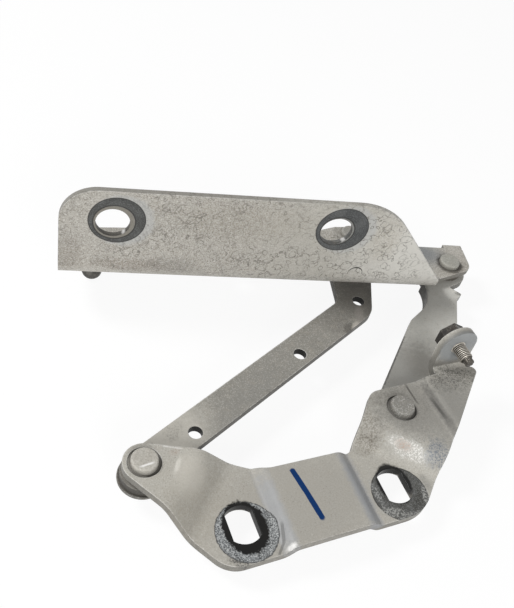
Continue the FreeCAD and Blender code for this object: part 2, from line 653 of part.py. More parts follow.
hole_sketch = new_sketch(bonnet_bracket, "XY_Plane")
for hole_x, hole_y, hole_radius in (
    ("0", "0", "shank_radius"),
    (*FRONT_RIVET, "slim_shank_radius"),
    (*BALL_PLACE, "neck_radius"),
    ("-web_hole_lead", BALL_PLACE[1], "web_hole_radius"),
    ("-first_pilot_lead", "-first_pilot_side", "pilot_hole_radius"),
    ("-second_pilot_lead", "second_pilot_side", "pilot_hole_radius"),
):
    draw_circle(hole_sketch, hole_x, hole_y, hole_radius)
cut_through(bonnet_bracket, hole_sketch)

# Stop tab: the ear's back edge turned down past the links.
stop_sketch = new_sketch(bonnet_bracket, "XY_Plane", EAR_TOP + " - stop_depth")
draw_box(stop_sketch, ear_reach - value("stop_width"), ear_depth, ear_reach, ear_depth + bonnet_sheet)
add_pad(bonnet_bracket, stop_sketch, "stop_depth")


# Links: flat plates with an eye at each pivot.
def add_plate(body, corners, holes):
    sketch = new_sketch(body, "XY_Plane", LINK_UNDERSIDE)
    draw_outline(sketch, corners)
    for hole in holes:
        draw_circle(sketch, *hole)
    add_pad(body, sketch, "link_sheet")


# Long link: straight from the body bracket, bent in its own plane under the bonnet bracket.
# Its bonnet eye is open by the free travel, because the chain is closed there by the rivet alone.
kick = value("long_link_kick")
left_edge = value("long_link_left")
right_edge = value("long_link_right")
long_neck = value("long_neck_radius")
bend_outer = value("bend_outer_radius")
bend_inner = value("bend_inner_radius")
long_run = value("long_link_run")
BUSH_OUTSIDE = "shank_radius + running_gap + bush_wall"
long_plate = new_body("long_link", long_pivot, long_link_angle - kick)
add_plate(long_plate, [
    (0, 0, value("long_eye_radius")),
    (value("long_neck_lead"), -right_edge - long_neck, -long_neck),
    (long_run - value("bend_outer_lead"), bend_outer - right_edge, bend_outer),
    (*polar((0, 0), long_link, kick), value("open_eye_radius")),
    (long_run - value("bend_inner_lead"), left_edge + bend_inner, -bend_inner),
], [
    ("0", "0", BUSH_OUTSIDE),
    ("long_link_length * cos(long_link_kick * 1 deg)", "long_link_length * sin(long_link_kick * 1 deg)",
     "slim_shank_radius + open_travel + side_gap"),
    ("gauge_hole_first", "-gauge_hole_side", "gauge_hole_radius"),
    ("gauge_hole_second", "-gauge_hole_side", "gauge_hole_radius"),
    ("long_link_run + bend_hole_lead", "bend_hole_side", "gauge_hole_radius"),
])

# Short link: a broad plate with a hollow front edge, a stop lug behind and a lip under the hollow.
short_link = value("short_link_length")
short_eye = value("short_eye_radius")
hollow = value("hollow_radius")
hollow_x = short_link - value("hollow_back")
hollow_y = value("hollow_side")
lug_corner = value("lug_tip_radius")
short_plate = new_body("short_link", short_pivot, value("rest_angle"))
add_plate(short_plate, [
    (0, 0, short_eye),
    (hollow_x - value("belly_run"), -value("belly_side"), value("belly_radius")),
    (short_link - value("lug_root_lead"), -value("lug_root_side"), -value("lug_root_radius")),
    (short_link - value("lug_tip_lead"), -value("lug_tip_side"), lug_corner),
    (short_link - value("lug_inner_lead"), -value("lug_inner_side"), -lug_corner),
    (short_link, 0, short_eye),
    (hollow_x + value("front_shoulder_run"), value("front_shoulder_side"), value("front_shoulder_radius")),
    (hollow_x, hollow_y, -hollow),
    (hollow_x - value("rear_shoulder_run"), -value("rear_shoulder_side"), value("rear_shoulder_radius")),
], [
    ("0", "0", BUSH_OUTSIDE),
    ("short_link_length", "0", BUSH_OUTSIDE),
])
lip_sketch = new_sketch(short_plate, "XY_Plane", LINK_UNDERSIDE + " - lip_depth")
lip_arc = [math.radians(degrees) for degrees in (-88, -52)]
lip_centre = vector(hollow_x, hollow_y)
lip_radii = (hollow, hollow + value("lip_sheet"))
for radius in lip_radii:
    lip_sketch.addGeometry(Part.ArcOfCircle(Part.Circle(lip_centre, UP, radius), *lip_arc), False)
for angle in lip_arc:
    ends = [vector(*polar((hollow_x, hollow_y), radius, math.degrees(angle))) for radius in lip_radii]
    lip_sketch.addGeometry(Part.LineSegment(*ends), False)
add_pad(short_plate, lip_sketch, "lip_depth")

# Pivots: a shouldered rivet with a formed head above, a washer and a peened tail below.
washer_top = value(LINK_UNDERSIDE + " - side_gap")
washer_under = washer_top - value("washer_sheet")
tail_under = washer_under - value("tail_height")
link_top = value(LINK_TOP)
link_under = value(LINK_UNDERSIDE)
side_gap = value("side_gap")


def make_rivet(label, at, shank, seat, sheet_top):
    head = value("head_radius")
    head_top = sheet_top + value("head_height")
    tail = value("tail_radius")
    add_turned(new_body(label, at), [
        (0, tail_under, 0),
        (tail - 1.2, tail_under + 1.2, 1.2),
        (tail, washer_under, 0),
        (shank, washer_under, 0),
        (shank, seat, 0),
        (head, seat, 0),
        (head - 0.9, head_top - 0.9, 0.9),
        (0, head_top, 0),
    ])


def make_washer(label, at, bore):
    outside = value("washer_radius")
    add_turned(new_body(label, at), [
        (bore, washer_under, 0),
        (outside - 0.3, washer_under + 0.3, 0.3),
        (outside, washer_top, 0),
        (bore, washer_top, 0),
    ])


def make_bush(label, at, collar_top):
    """Make a bush pressed into a link: a sleeve in the eye and a collar above it."""
    bore = value("shank_radius + running_gap")
    outside = value(BUSH_OUTSIDE)
    collar = value("collar_radius")
    add_turned(new_body(label, at), [
        (bore, link_under, 0),
        (outside, link_under, 0),
        (outside, link_top, 0),
        (collar, link_top, 0),
        (collar - 0.3, collar_top - 0.3, 0.3),
        (bore, collar_top, 0),
    ])


shank = value("shank_radius")
slim = value("slim_shank_radius")
body_seat = value(SEAT_FLOOR)
front_seat_top = web_top + value("emboss_rise")
PIVOTS = [
    ("long_body", long_pivot, shank, body_seat, web_top),
    ("short_body", short_pivot, shank, body_seat, web_top),
    ("short_bonnet", rear_pivot, shank, web_top, web_top),
    ("long_bonnet", front_pivot, slim, front_seat_top, front_seat_top),
]
for name, at, shank_size, seat, sheet_top in PIVOTS:
    make_rivet(name + "_rivet", at, shank_size, seat, sheet_top)
    make_washer(name + "_washer", at, shank_size)
for name, at, underside in (
    ("long_body", long_pivot, ear_level),
    ("short_body", short_pivot, ear_level),
    ("short_bonnet", rear_pivot, web_under),
):
    make_bush(name + "_bush", at, underside - side_gap)

# Spacer of the open pivot: a stepped bush under the raised seat, held by the rivet.
spacer_under = link_top + side_gap
collar_rim = value("open_collar_radius")
spacer_rim = value("collar_radius")
spacer_step = spacer_under + value("open_collar")
spacer_top = web_under + value("emboss_rise")
add_turned(new_body("long_bonnet_spacer", front_pivot), [
    (slim, spacer_under, 0),
    (collar_rim, spacer_under, 0),
    (collar_rim, spacer_step, 0),
    (spacer_rim, spacer_step, 0),
    (spacer_rim, spacer_top, 0),
    (slim, spacer_top, 0),
])

# Ball stud: riveted through the web's free end, with the gas strut's ball below.
ball_at = on_bonnet(*BALL_PLACE)
ball_collar_rim = value("ball_collar_radius")
neck = value("neck_radius")
ball_seat_under = web_under + value("ball_seat_rise")
ball_seat_top = ball_seat_under + bonnet_sheet
ball_z = web_under - value("ball_drop")
ball_head_top = ball_seat_top + value("head_height")
ball_collar_under = ball_seat_under - value("ball_collar")
ball_stud = new_body("ball_stud", ball_at)
add_turned(ball_stud, [
    (0, ball_z, 0),
    (neck, ball_z, 0),
    (neck, ball_collar_under - 1.0, 0),
    (ball_collar_rim - 1.2, ball_collar_under, 0),
    (ball_collar_rim, ball_seat_under, 0),
    (neck, ball_seat_under, 0),
    (neck, ball_seat_top, 0),
    (ball_collar_rim, ball_seat_top, 0),
    (ball_collar_rim - 0.9, ball_head_top - 0.9, 0.9),
    (0, ball_head_top, 0),
])
ball = ball_stud.newObject("PartDesign::AdditiveSphere", "ball_stud_ball")
ball.setExpression("Radius", bound("ball_radius"))
ball.setExpression("Placement.Base.z", bound(WEB_UNDERSIDE + " - ball_drop"))

NODES = [
    "body_bracket", "guide_stud", "guide_nut", "bonnet_bracket", "long_link", "short_link", "ball_stud",
    "long_bonnet_spacer", "long_body_bush", "short_body_bush", "short_bonnet_bush",
] + [f"{name}_{kind}" for name, *rest in PIVOTS for kind in ("rivet", "washer")]

doc.recompute()
failed = [item.Label for item in doc.Objects if {"Invalid", "Error"} & set(item.State)]
if failed:
    raise RuntimeError("these did not build: " + ", ".join(failed))
os.makedirs("parts", exist_ok=True)
for node in NODES:
    shape = doc.getObjectsByLabel(node)[0].Shape
    if shape.isNull() or not shape.isValid() or len(shape.Solids) != 1:
        raise RuntimeError(f"{node} is not one valid solid")
    shape.exportStep(f"parts/{node}.step")
    print(node, round(shape.Volume, 1))
print("bonnet_turn", round(bonnet_turn, 3), "long_link_angle", round(long_link_angle, 3))
print("pivots", long_pivot, short_pivot, front_pivot, rear_pivot)
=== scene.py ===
import bpy
import bmesh
import math
from mathutils import Matrix, Vector


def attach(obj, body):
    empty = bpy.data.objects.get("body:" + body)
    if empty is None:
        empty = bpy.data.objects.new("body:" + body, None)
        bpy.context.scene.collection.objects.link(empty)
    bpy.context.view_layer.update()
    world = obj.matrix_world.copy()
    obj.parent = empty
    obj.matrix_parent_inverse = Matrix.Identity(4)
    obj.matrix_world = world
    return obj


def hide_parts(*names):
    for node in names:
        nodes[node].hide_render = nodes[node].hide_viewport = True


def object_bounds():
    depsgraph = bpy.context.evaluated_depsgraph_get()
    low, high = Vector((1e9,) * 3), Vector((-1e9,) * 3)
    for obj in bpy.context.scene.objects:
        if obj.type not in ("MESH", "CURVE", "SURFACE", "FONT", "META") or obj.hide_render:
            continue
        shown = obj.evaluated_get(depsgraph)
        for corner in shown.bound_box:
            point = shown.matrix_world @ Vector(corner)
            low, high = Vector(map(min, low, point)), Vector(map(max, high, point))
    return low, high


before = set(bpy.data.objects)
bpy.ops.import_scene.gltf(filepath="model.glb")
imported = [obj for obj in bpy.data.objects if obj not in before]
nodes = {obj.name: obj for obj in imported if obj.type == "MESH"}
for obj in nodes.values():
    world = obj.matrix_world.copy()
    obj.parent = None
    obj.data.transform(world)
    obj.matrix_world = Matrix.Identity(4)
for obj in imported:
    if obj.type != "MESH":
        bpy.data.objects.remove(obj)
cad_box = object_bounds()

# Camera: held above the body bracket's front corner, looking down across both brackets.
# It stands and turns as the photographer did, with the same perspective.
eye = Vector((-0.09128, -0.11119, 0.25267))
right = Vector((0.9236, -0.3394, 0.1782))
down = Vector((-0.1258, -0.7074, -0.6955))
focal_pixels = 737.86
image_width, image_height = 514, 608
optical_axis = (237.10, 301.67)
camera = bpy.data.objects.new("Camera", bpy.data.cameras.new("Camera"))
bpy.context.scene.collection.objects.link(camera)
right.normalize()
down = (down - down.dot(right) * right).normalized()
axes = Matrix((right, -down, -right.cross(down))).transposed()
camera.matrix_world = Matrix.Translation(eye) @ axes.to_4x4()
camera.data.sensor_width = 36.0
camera.data.lens = focal_pixels * camera.data.sensor_width / image_height
camera.data.shift_x = (image_width / 2 - optical_axis[0]) / image_height
camera.data.shift_y = (optical_axis[1] - image_height / 2) / image_height
camera.data.clip_start = 0.01
camera.data.clip_end = 20.0
bpy.context.scene.camera = camera


# Studio: a white floor under the ball stud and a white surround that the metal mirrors.
# The floor keeps the hinge's shadow; one broad lamp above and one low in front light it softly.
def add_node(tree, kind, **settings):
    node = tree.nodes.new(kind)
    for name, setting in settings.items():
        setattr(node, name, setting)
    return node


def seen_directly(tree):
    """Give 1 for rays from the camera, from a mirror or through glass."""
    path = add_node(tree, "ShaderNodeLightPath")
    mirrored = add_node(tree, "ShaderNodeMath", operation="MAXIMUM")
    tree.links.new(path.outputs["Is Camera Ray"], mirrored.inputs[0])
    tree.links.new(path.outputs["Is Glossy Ray"], mirrored.inputs[1])
    either = add_node(tree, "ShaderNodeMath", operation="MAXIMUM")
    tree.links.new(mirrored.outputs[0], either.inputs[0])
    tree.links.new(path.outputs["Is Transmission Ray"], either.inputs[1])
    return either.outputs[0]


world = bpy.data.worlds.new("Studio")
bpy.context.scene.world = world
world.use_nodes = True
sky = world.node_tree
background = sky.nodes["Background"]
background.inputs["Color"].default_value = (1.0, 1.0, 1.0, 1.0)
surround_light, surround_white = 0.27, 1.0
sky_strength = add_node(sky, "ShaderNodeMapRange")
sky_strength.inputs["To Min"].default_value = surround_light
sky_strength.inputs["To Max"].default_value = surround_white
sky.links.new(seen_directly(sky), sky_strength.inputs["Value"])
sky.links.new(sky_strength.outputs[0], background.inputs["Strength"])

floor_gap, floor_reach, floor_glow = 0.0002, 3.0, 0.92
floor_level = cad_box[0].z - floor_gap
floor_mesh = bpy.data.meshes.new("Floor")
floor_mesh.from_pydata(
    [(x, y, floor_level) for x, y in ((-floor_reach, -floor_reach), (floor_reach, -floor_reach),
                                      (floor_reach, floor_reach), (-floor_reach, floor_reach))],
    [], [(0, 1, 2, 3)])
floor = bpy.data.objects.new("Floor", floor_mesh)
bpy.context.scene.collection.objects.link(floor)
floor_paper = bpy.data.materials.new("Floor_paper")
floor_paper.use_nodes = True
paper = floor_paper.node_tree
paper_shader = paper.nodes["Principled BSDF"]
paper_shader.inputs["Base Color"].default_value = (0.9, 0.9, 0.9, 1.0)
paper_shader.inputs["Roughness"].default_value = 0.9
paper_shader.inputs["Specular IOR Level"].default_value = 0.1
paper_white = add_node(paper, "ShaderNodeEmission")
paper_mix = add_node(paper, "ShaderNodeMixShader")
paper_share = add_node(paper, "ShaderNodeMath", operation="MULTIPLY")
paper_share.inputs[1].default_value = floor_glow
paper.links.new(seen_directly(paper), paper_share.inputs[0])
paper.links.new(paper_share.outputs[0], paper_mix.inputs[0])
paper.links.new(paper_shader.outputs[0], paper_mix.inputs[1])
paper.links.new(paper_white.outputs[0], paper_mix.inputs[2])
paper.links.new(paper_mix.outputs[0], paper.nodes["Material Output"].inputs["Surface"])
floor_mesh.materials.append(floor_paper)


def add_lamp(name, place, aim, size, power):
    lamp = bpy.data.objects.new(name, bpy.data.lights.new(name, "AREA"))
    lamp.data.shape = "DISK"
    lamp.data.size = size
    lamp.data.energy = power
    lamp.location = place
    lamp.rotation_euler = (Vector(aim) - Vector(place)).to_track_quat("-Z", "Y").to_euler()
    bpy.context.scene.collection.objects.link(lamp)


hinge_middle = (0.05, 0.07, 0.02)
add_lamp("Lamp_above", place=(-0.62, 0.42, 0.82), aim=hinge_middle, size=0.30, power=8.9)
add_lamp("Lamp_front", place=(-0.08, -0.85, 0.50), aim=hinge_middle, size=0.5, power=6.6)
bpy.context.scene.view_settings.view_transform = "Standard"


# Body bracket: one thick steel pressing, slotted for two body bolts, with ears for both links and a tab.
# It was pressed, holed and then dipped in warm grey primer, which bolting and handling have marked.
def new_group(name, inputs, outputs):
    """Start a node group; give it back with its given values and its result sockets."""
    group = bpy.data.node_groups.new(name, "ShaderNodeTree")
    for label, kind, default in inputs:
        socket = group.interface.new_socket(label, in_out="INPUT", socket_type="NodeSocket" + kind)
        socket.default_value = default
    for label, kind in outputs:
        group.interface.new_socket(label, in_out="OUTPUT", socket_type="NodeSocket" + kind)
    return group, add_node(group, "NodeGroupInput").outputs, add_node(group, "NodeGroupOutput").inputs


def feed(tree, socket, source):
    """Link a socket, or set it where the source is a plain number or colour."""
    if isinstance(source, (int, float)):
        socket.default_value = source
    elif isinstance(source, tuple):
        socket.default_value = (*source, 1.0) if socket.type == "RGBA" else source
    elif source is not None:
        tree.links.new(source, socket)


def calculate(tree, operation, first, second=None):
    node = add_node(tree, "ShaderNodeMath", operation=operation)
    feed(tree, node.inputs[0], first)
    feed(tree, node.inputs[1], second)
    return node.outputs[0]


def measure(tree, operation, first, second=None):
    node = add_node(tree, "ShaderNodeVectorMath", operation=operation)
    feed(tree, node.inputs[0], first)
    feed(tree, node.inputs[1], second)
    return node.outputs["Value" if operation in ("DISTANCE", "LENGTH", "DOT_PRODUCT") else "Vector"]


def ramp(tree, source, low, high, low_out=0.0, high_out=1.0):
    """Run smoothly from one value to another while the source runs from low to high."""
    node = add_node(tree, "ShaderNodeMapRange", interpolation_type="SMOOTHSTEP")
    for label, given in (("Value", source), ("From Min", low), ("From Max", high),
                         ("To Min", low_out), ("To Max", high_out)):
        feed(tree, node.inputs[label], given)
    return node.outputs[0]


def own_place(tree):
    return add_node(tree, "ShaderNodeTexCoord").outputs["Object"]


def noise(tree, scale, detail=2.0, roughness=0.5):
    """Sample noise in the hinge's own space; the scale is in waves to the metre."""
    node = add_node(tree, "ShaderNodeTexNoise")
    node.inputs["Scale"].default_value = scale
    node.inputs["Detail"].default_value = detail
    node.inputs["Roughness"].default_value = roughness
    tree.links.new(own_place(tree), node.inputs["Vector"])
    return node.outputs["Fac"]


def blend_colour(tree, share, first, second):
    node = add_node(tree, "ShaderNodeMix", data_type="RGBA")
    sockets = node.inputs["Factor"], node.inputs[6], node.inputs[7]
    for socket, source in zip(sockets, (share, first, second)):
        feed(tree, socket, source)
    return node.outputs[2]


corner_reach, primer_rounding, primer_relief = 0.003, 0.0007, 0.00008


def make_primer_group():
    """Thin dip primer: clouded, finely grained, dirty and darkened with painted shade in its corners, and
    rubbed bright with a painted highlight line on its edges.
    """
    group, given, result = new_group(
        "Dip_primer",
        [("Paint", "Color", (0.5, 0.5, 0.5, 1.0)), ("Dirt", "Color", (0.1, 0.1, 0.1, 1.0)),
         ("Dirtiness", "Float", 0.3), ("Edge wear", "Float", 0.4), ("Grain", "Float", 0.4)],
        [("Colour", "Color"), ("Roughness", "Float"), ("Height", "Float"), ("Rounded", "Vector")])
    cloud = noise(group, 40.0, 3.0, 0.55)
    mottle = noise(group, 260.0, 3.0, 0.6)
    grain = noise(group, 1700.0, 2.0, 0.6)
    clouded = blend_colour(group, ramp(group, cloud, 0.35, 0.68, 0.0, 0.20), given["Paint"],
                           (0.27, 0.262, 0.24))
    warm = blend_colour(group, ramp(group, mottle, 0.45, 0.72, 0.0, 0.22), clouded, (0.36, 0.325, 0.27))
    pale_grain = calculate(group, "MULTIPLY", ramp(group, grain, 0.50, 0.68), given["Grain"])
    dark_grain = calculate(group, "MULTIPLY", ramp(group, grain, 0.46, 0.32), given["Grain"])
    light = blend_colour(group, pale_grain, warm, (0.60, 0.59, 0.555))
    grained = blend_colour(group, dark_grain, light, (0.18, 0.17, 0.15))
    speck = calculate(group, "MULTIPLY", ramp(group, noise(group, 1250.0, 3.0, 0.7), 0.58, 0.68),
                      ramp(group, noise(group, 90.0, 2.0), 0.42, 0.66))
    # Corners and the feet of parts are darkened by occlusion: dirt, and painted shade where less light
    # falls.
    open_air = add_node(group, "ShaderNodeAmbientOcclusion", samples=6)
    open_air.inputs["Distance"].default_value = corner_reach
    corner = ramp(group, open_air.outputs["AO"], 0.92, 0.42)
    corner = calculate(group, "MULTIPLY", corner, ramp(group, mottle, 0.3, 0.6, 0.5, 1.0))
    dirt = calculate(group, "MULTIPLY", calculate(group, "MAXIMUM", speck, corner), given["Dirtiness"])
    dirtied = blend_colour(group, dirt, grained, given["Dirt"])
    # Edges turn pale: rubbed primer, and a painted highlight line along each edge.
    rounding = add_node(group, "ShaderNodeBevel", samples=4)
    rounding.inputs["Radius"].default_value = primer_rounding
    flat = add_node(group, "ShaderNodeNewGeometry").outputs["True Normal"]
    edge = ramp(group, measure(group, "DOT_PRODUCT", rounding.outputs[0], flat), 0.995, 0.92)
    edge = calculate(group, "MULTIPLY", edge, ramp(group, noise(group, 420.0, 3.0), 0.34, 0.6, 0.30, 1.0))
    edge = calculate(group, "MULTIPLY", edge, given["Edge wear"])
    feed(group, result["Colour"], blend_colour(group, edge, dirtied, (0.78, 0.77, 0.73)))
    feed(group, result["Roughness"], calculate(group, "ADD", ramp(group, dirt, 0.0, 0.6, 0.40, 0.72),
                                               ramp(group, mottle, 0.3, 0.7, 0.0, 0.14)))
    swell = calculate(group, "MULTIPLY", mottle, 0.5)
    feed(group, result["Height"], calculate(group, "ADD", swell, grain))
    feed(group, result["Rounded"], rounding.outputs[0])
    return group


def make_stain_group():
    """A mask for one patch on a piece: an oval or a bar, turned flat, ragged or broken to grains."""
    group, given, result = new_group(
        "Stain_patch",
        [("Middle", "Vector", (0.0, 0.0, 0.0)), ("Reach", "Vector", (0.01, 0.01, 0.01)),
         ("Turn", "Float", 0.0), ("Ragged", "Float", 0.3), ("Soft", "Float", 0.3),
         ("Grainy", "Float", 0.0), ("Boxy", "Float", 0.0)],
        [("Mask", "Float")])
    turned = add_node(group, "ShaderNodeVectorRotate", rotation_type="Z_AXIS")
    feed(group, turned.inputs["Vector"], own_place(group))
    feed(group, turned.inputs["Center"], given["Middle"])
    feed(group, turned.inputs["Angle"], calculate(group, "MULTIPLY", given["Turn"], -1.0))
    apart = measure(group, "SUBTRACT", turned.outputs[0], given["Middle"])
    shares = measure(group, "DIVIDE", apart, given["Reach"])
    sides = add_node(group, "ShaderNodeSeparateXYZ")
    feed(group, sides.inputs[0], measure(group, "ABSOLUTE", shares))
    furthest = calculate(group, "MAXIMUM", sides.outputs[1], sides.outputs[2])
    furthest = calculate(group, "MAXIMUM", sides.outputs[0], furthest)
    oval = measure(group, "LENGTH", shares)
    squared = calculate(group, "MULTIPLY", given["Boxy"], calculate(group, "SUBTRACT", furthest, oval))
    away = calculate(group, "ADD", oval, squared)
    wander = calculate(group, "SUBTRACT", noise(group, 520.0, 4.0, 0.65), 0.5)
    wander = calculate(group, "MULTIPLY", wander, calculate(group, "MULTIPLY", given["Ragged"], 3.0))
    inside = ramp(group, calculate(group, "ADD", away, wander),
                  calculate(group, "SUBTRACT", 1.0, given["Soft"]),
                  calculate(group, "ADD", 1.0, given["Soft"]), 1.0, 0.0)
    gap = calculate(group, "SUBTRACT", 1.0, ramp(group, noise(group, 1500.0, 3.0, 0.65), 0.46, 0.58))
    kept = calculate(group, "SUBTRACT", 1.0, calculate(group, "MULTIPLY", gap, given["Grainy"]))
    feed(group, result["Mask"], calculate(group, "MULTIPLY", inside, kept))
    return group


def make_cut_edge_group():
    """A mask for the sheet's cut edges: the faces that stand across the way the sheet is looked at."""
    group, given, result = new_group(
        "Cut_edge", [("Sheet way", "Vector", (0.0, 0.0, 1.0))], [("Mask", "Float")])
    facing = add_node(group, "ShaderNodeTexCoord").outputs["Normal"]
    square = calculate(group, "ABSOLUTE", measure(group, "DOT_PRODUCT", facing, given["Sheet way"]))
    feed(group, result["Mask"], ramp(group, square, 0.42, 0.30))
    return group


def make_print_group():
    """A bolt washer's print on one face: crushed primer inside a dark rim line, scored in circles."""
    group, given, result = new_group(
        "Washer_print",
        [("Under", "Color", (0.5, 0.5, 0.5, 1.0)), ("Crushed", "Color", (0.1, 0.1, 0.1, 1.0)),
         ("Middle", "Vector", (0.0, 0.0, 0.0)), ("Reach", "Float", 0.0125),
         ("Bore middle", "Vector", (0.0, 0.0, 0.0)), ("Bore reach", "Float", 0.0),
         ("Face way", "Vector", (0.0, 0.0, 1.0)), ("Grit", "Float", 0.5), ("Ragged", "Float", 0.3)],
        [("Colour", "Color"), ("Mask", "Float"), ("Height", "Float")])
    rim_fade, rim_line_in, rim_line_out = 0.00035, 0.0009, 0.0003
    bore_fade, bore_line_width = 0.0005, 0.0006
    rim_wander, press_depth = 0.004, 1.6
    place = own_place(group)
    facing = add_node(group, "ShaderNodeTexCoord").outputs["Normal"]
    on_face = ramp(group, measure(group, "DOT_PRODUCT", facing, given["Face way"]), 0.2, 0.5)
    wander = calculate(group, "SUBTRACT", noise(group, 600.0, 4.0, 0.7), 0.5)
    wander = calculate(group, "MULTIPLY", wander, calculate(group, "MULTIPLY", given["Ragged"], rim_wander))
    away = calculate(group, "ADD", measure(group, "DISTANCE", place, given["Middle"]), wander)
    from_bore = calculate(group, "ADD", measure(group, "DISTANCE", place, given["Bore middle"]), wander)
    within = calculate(group, "SUBTRACT", given["Reach"], rim_fade)
    inside = ramp(group, away, within, given["Reach"], 1.0, 0.0)
    past_bore = ramp(group, from_bore, calculate(group, "SUBTRACT", given["Bore reach"], bore_fade),
                     given["Bore reach"])
    pressed = calculate(group, "MULTIPLY", on_face, calculate(group, "MULTIPLY", inside, past_bore))
    scoring = add_node(group, "ShaderNodeTexNoise", noise_dimensions="1D")
    feed(group, scoring.inputs["W"], away)
    scoring.inputs["Scale"].default_value = 1900.0
    scores = calculate(group, "MULTIPLY", ramp(group, scoring.outputs["Fac"], 0.50, 0.66),
                       ramp(group, noise(group, 210.0, 3.0), 0.40, 0.62))
    grit = noise(group, 2100.0, 2.0, 0.6)
    scored = blend_colour(group, calculate(group, "MULTIPLY", scores, 0.65), given["Crushed"],
                          (0.030, 0.030, 0.030))
    shaded = blend_colour(group, ramp(group, noise(group, 150.0, 2.0), 0.42, 0.66, 0.0, 0.35), scored,
                          (0.142, 0.145, 0.143))
    dust = calculate(group, "MULTIPLY", ramp(group, grit, 0.50, 0.62), given["Grit"])
    dusted = blend_colour(group, dust, shaded, (0.42, 0.43, 0.425))
    pits = calculate(group, "MULTIPLY", ramp(group, grit, 0.44, 0.34), given["Grit"])
    pitted = blend_colour(group, pits, dusted, (0.018, 0.018, 0.018))
    rim_line = calculate(group, "MULTIPLY",
                         ramp(group, away, calculate(group, "SUBTRACT", given["Reach"], rim_line_in),
                              calculate(group, "SUBTRACT", given["Reach"], rim_line_out)), 0.75)
    bore_line = ramp(group, from_bore, given["Bore reach"],
                     calculate(group, "ADD", given["Bore reach"], bore_line_width), 0.8, 0.0)
    either_line = calculate(group, "MAXIMUM", rim_line, bore_line)
    lined = blend_colour(group, either_line, pitted, (0.030, 0.029, 0.027))
    feed(group, result["Colour"], blend_colour(group, pressed, given["Under"], lined))
    feed(group, result["Mask"], pressed)
    relief = calculate(group, "SUBTRACT", calculate(group, "MULTIPLY", grit, given["Grit"]), press_depth)
    feed(group, result["Height"], calculate(group, "MULTIPLY", relief, pressed))
    return group


def new_finish(name, gloss=0.5):
    material = bpy.data.materials.new(name)
    material.use_nodes = True
    shader = material.node_tree.nodes["Principled BSDF"]
    shader.inputs["Specular IOR Level"].default_value = gloss
    return material, material.node_tree, shader


def place_group(tree, group, **settings):
    """Put a group into a material with its settings linked or set, and give its outputs."""
    node = add_node(tree, "ShaderNodeGroup", node_tree=group)
    for label, setting in settings.items():
        feed(tree, node.inputs[label.replace("_", " ")], setting)
    return node.outputs


def millimetres(*sizes):
    return tuple(size / 1000.0 for size in sizes)


def stain(middle, reach, colour, share, turn=0.0, ragged=0.3, soft=0.3, grainy=0.0, boxy=0.0, rough=None,
          raised=0.0, edge_of=None):
    """One patch on a piece, in millimetres and degrees; with edge_of, on that sheet's cut edges only."""
    return {"patch": {"Middle": millimetres(*middle), "Reach": millimetres(*reach),
                      "Turn": math.radians(turn), "Ragged": ragged, "Soft": soft, "Grainy": grainy,
                      "Boxy": boxy},
            "colour": colour, "share": share, "rough": rough, "raised": raised, "edge_of": edge_of}


def stroke(start, end, width, colour, share, **more):
    """A long thin patch from one point to another, both in millimetres."""
    least_depth = 3.0
    run = Vector(end) - Vector(start)
    middle = (Vector(start) + Vector(end)) / 2
    reach = (run.to_2d().length / 2, width / 2, max(abs(run.z), least_depth))
    heading = math.degrees(math.atan2(run.y, run.x))
    return stain(tuple(middle), reach, colour, share, turn=heading, boxy=0.8, **more)


def shade_cut_edges(middle, reach, colour, share, sheet_way):
    """Darken the cut edges of a whole sheet, or of the stretch of it inside one box, as painted shade."""
    return stain(middle, reach, colour, share, boxy=1.0, ragged=0.05, edge_of=sheet_way)


primer = make_primer_group()
stain_patch = make_stain_group()
cut_edge = make_cut_edge_group()
washer_print = make_print_group()
road_dirt, dried_brown = (0.085, 0.078, 0.068), (0.125, 0.115, 0.098)
primer_gloss, crushed_roughness = 0.16, 0.42


def press_relief(tree, shader, depth, strength, height, rounded):
    """Raise the surface by its height, on top of the rounded edges."""
    relief = add_node(tree, "ShaderNodeBump")
    relief.inputs["Distance"].default_value = depth
    relief.inputs["Strength"].default_value = strength
    feed(tree, relief.inputs["Height"], height)
    feed(tree, relief.inputs["Normal"], rounded)
    feed(tree, shader.inputs["Normal"], relief.outputs[0])


def wear_finish(piece, material):
    piece.data.materials.clear()
    piece.data.materials.append(material)


def finish_sheet(node_name, paint, dirt_and_corner_shade, edge_wear_and_highlight, grain=0.4, stains=(), prints=(), rings=None,
                 late_stains=()):
    """Give a CAD piece its primer: stains first, then washer prints, then what lies over them."""
    material, tree, shader = new_finish("Primer_" + node_name, gloss=primer_gloss)
    coat = place_group(tree, primer, Paint=paint, Dirt=road_dirt, Dirtiness=dirt_and_corner_shade,
                       Edge_wear=edge_wear_and_highlight, Grain=grain)
    colour, roughness, height = coat["Colour"], coat["Roughness"], coat["Height"]
    for entry in (*stains, rings, *prints, *late_stains):
        if entry is None:
            continue
        if entry is rings:
            mask, rough = place_group(tree, rings)["Mask"], None
            colour = blend_colour(tree, mask, colour, dried_brown)
        elif "patch" in entry:
            mask = place_group(tree, stain_patch, **entry["patch"])["Mask"]
            if entry["edge_of"] is not None:
                edge = place_group(tree, cut_edge, Sheet_way=entry["edge_of"])["Mask"]
                mask = calculate(tree, "MULTIPLY", mask, edge)
            colour = blend_colour(tree, calculate(tree, "MULTIPLY", mask, entry["share"]), colour,
                                  entry["colour"])
            if entry["raised"]:
                rise = calculate(tree, "MULTIPLY", mask, entry["raised"])
                height = calculate(tree, "ADD", height, rise)
            rough = entry["rough"]
        else:
            pressed = place_group(tree, washer_print, Under=colour, **entry)
            colour, mask, rough = pressed["Colour"], pressed["Mask"], crushed_roughness
            height = calculate(tree, "ADD", height, pressed["Height"])
        if rough is not None:
            change = calculate(tree, "MULTIPLY", calculate(tree, "SUBTRACT", rough, roughness), mask)
            roughness = calculate(tree, "ADD", roughness, change)
    feed(tree, shader.inputs["Base Color"], colour)
    feed(tree, shader.inputs["Roughness"], roughness)
    press_relief(tree, shader, primer_relief, strength=0.45, height=height, rounded=coat["Rounded"])
    wear_finish(nodes[node_name], material)


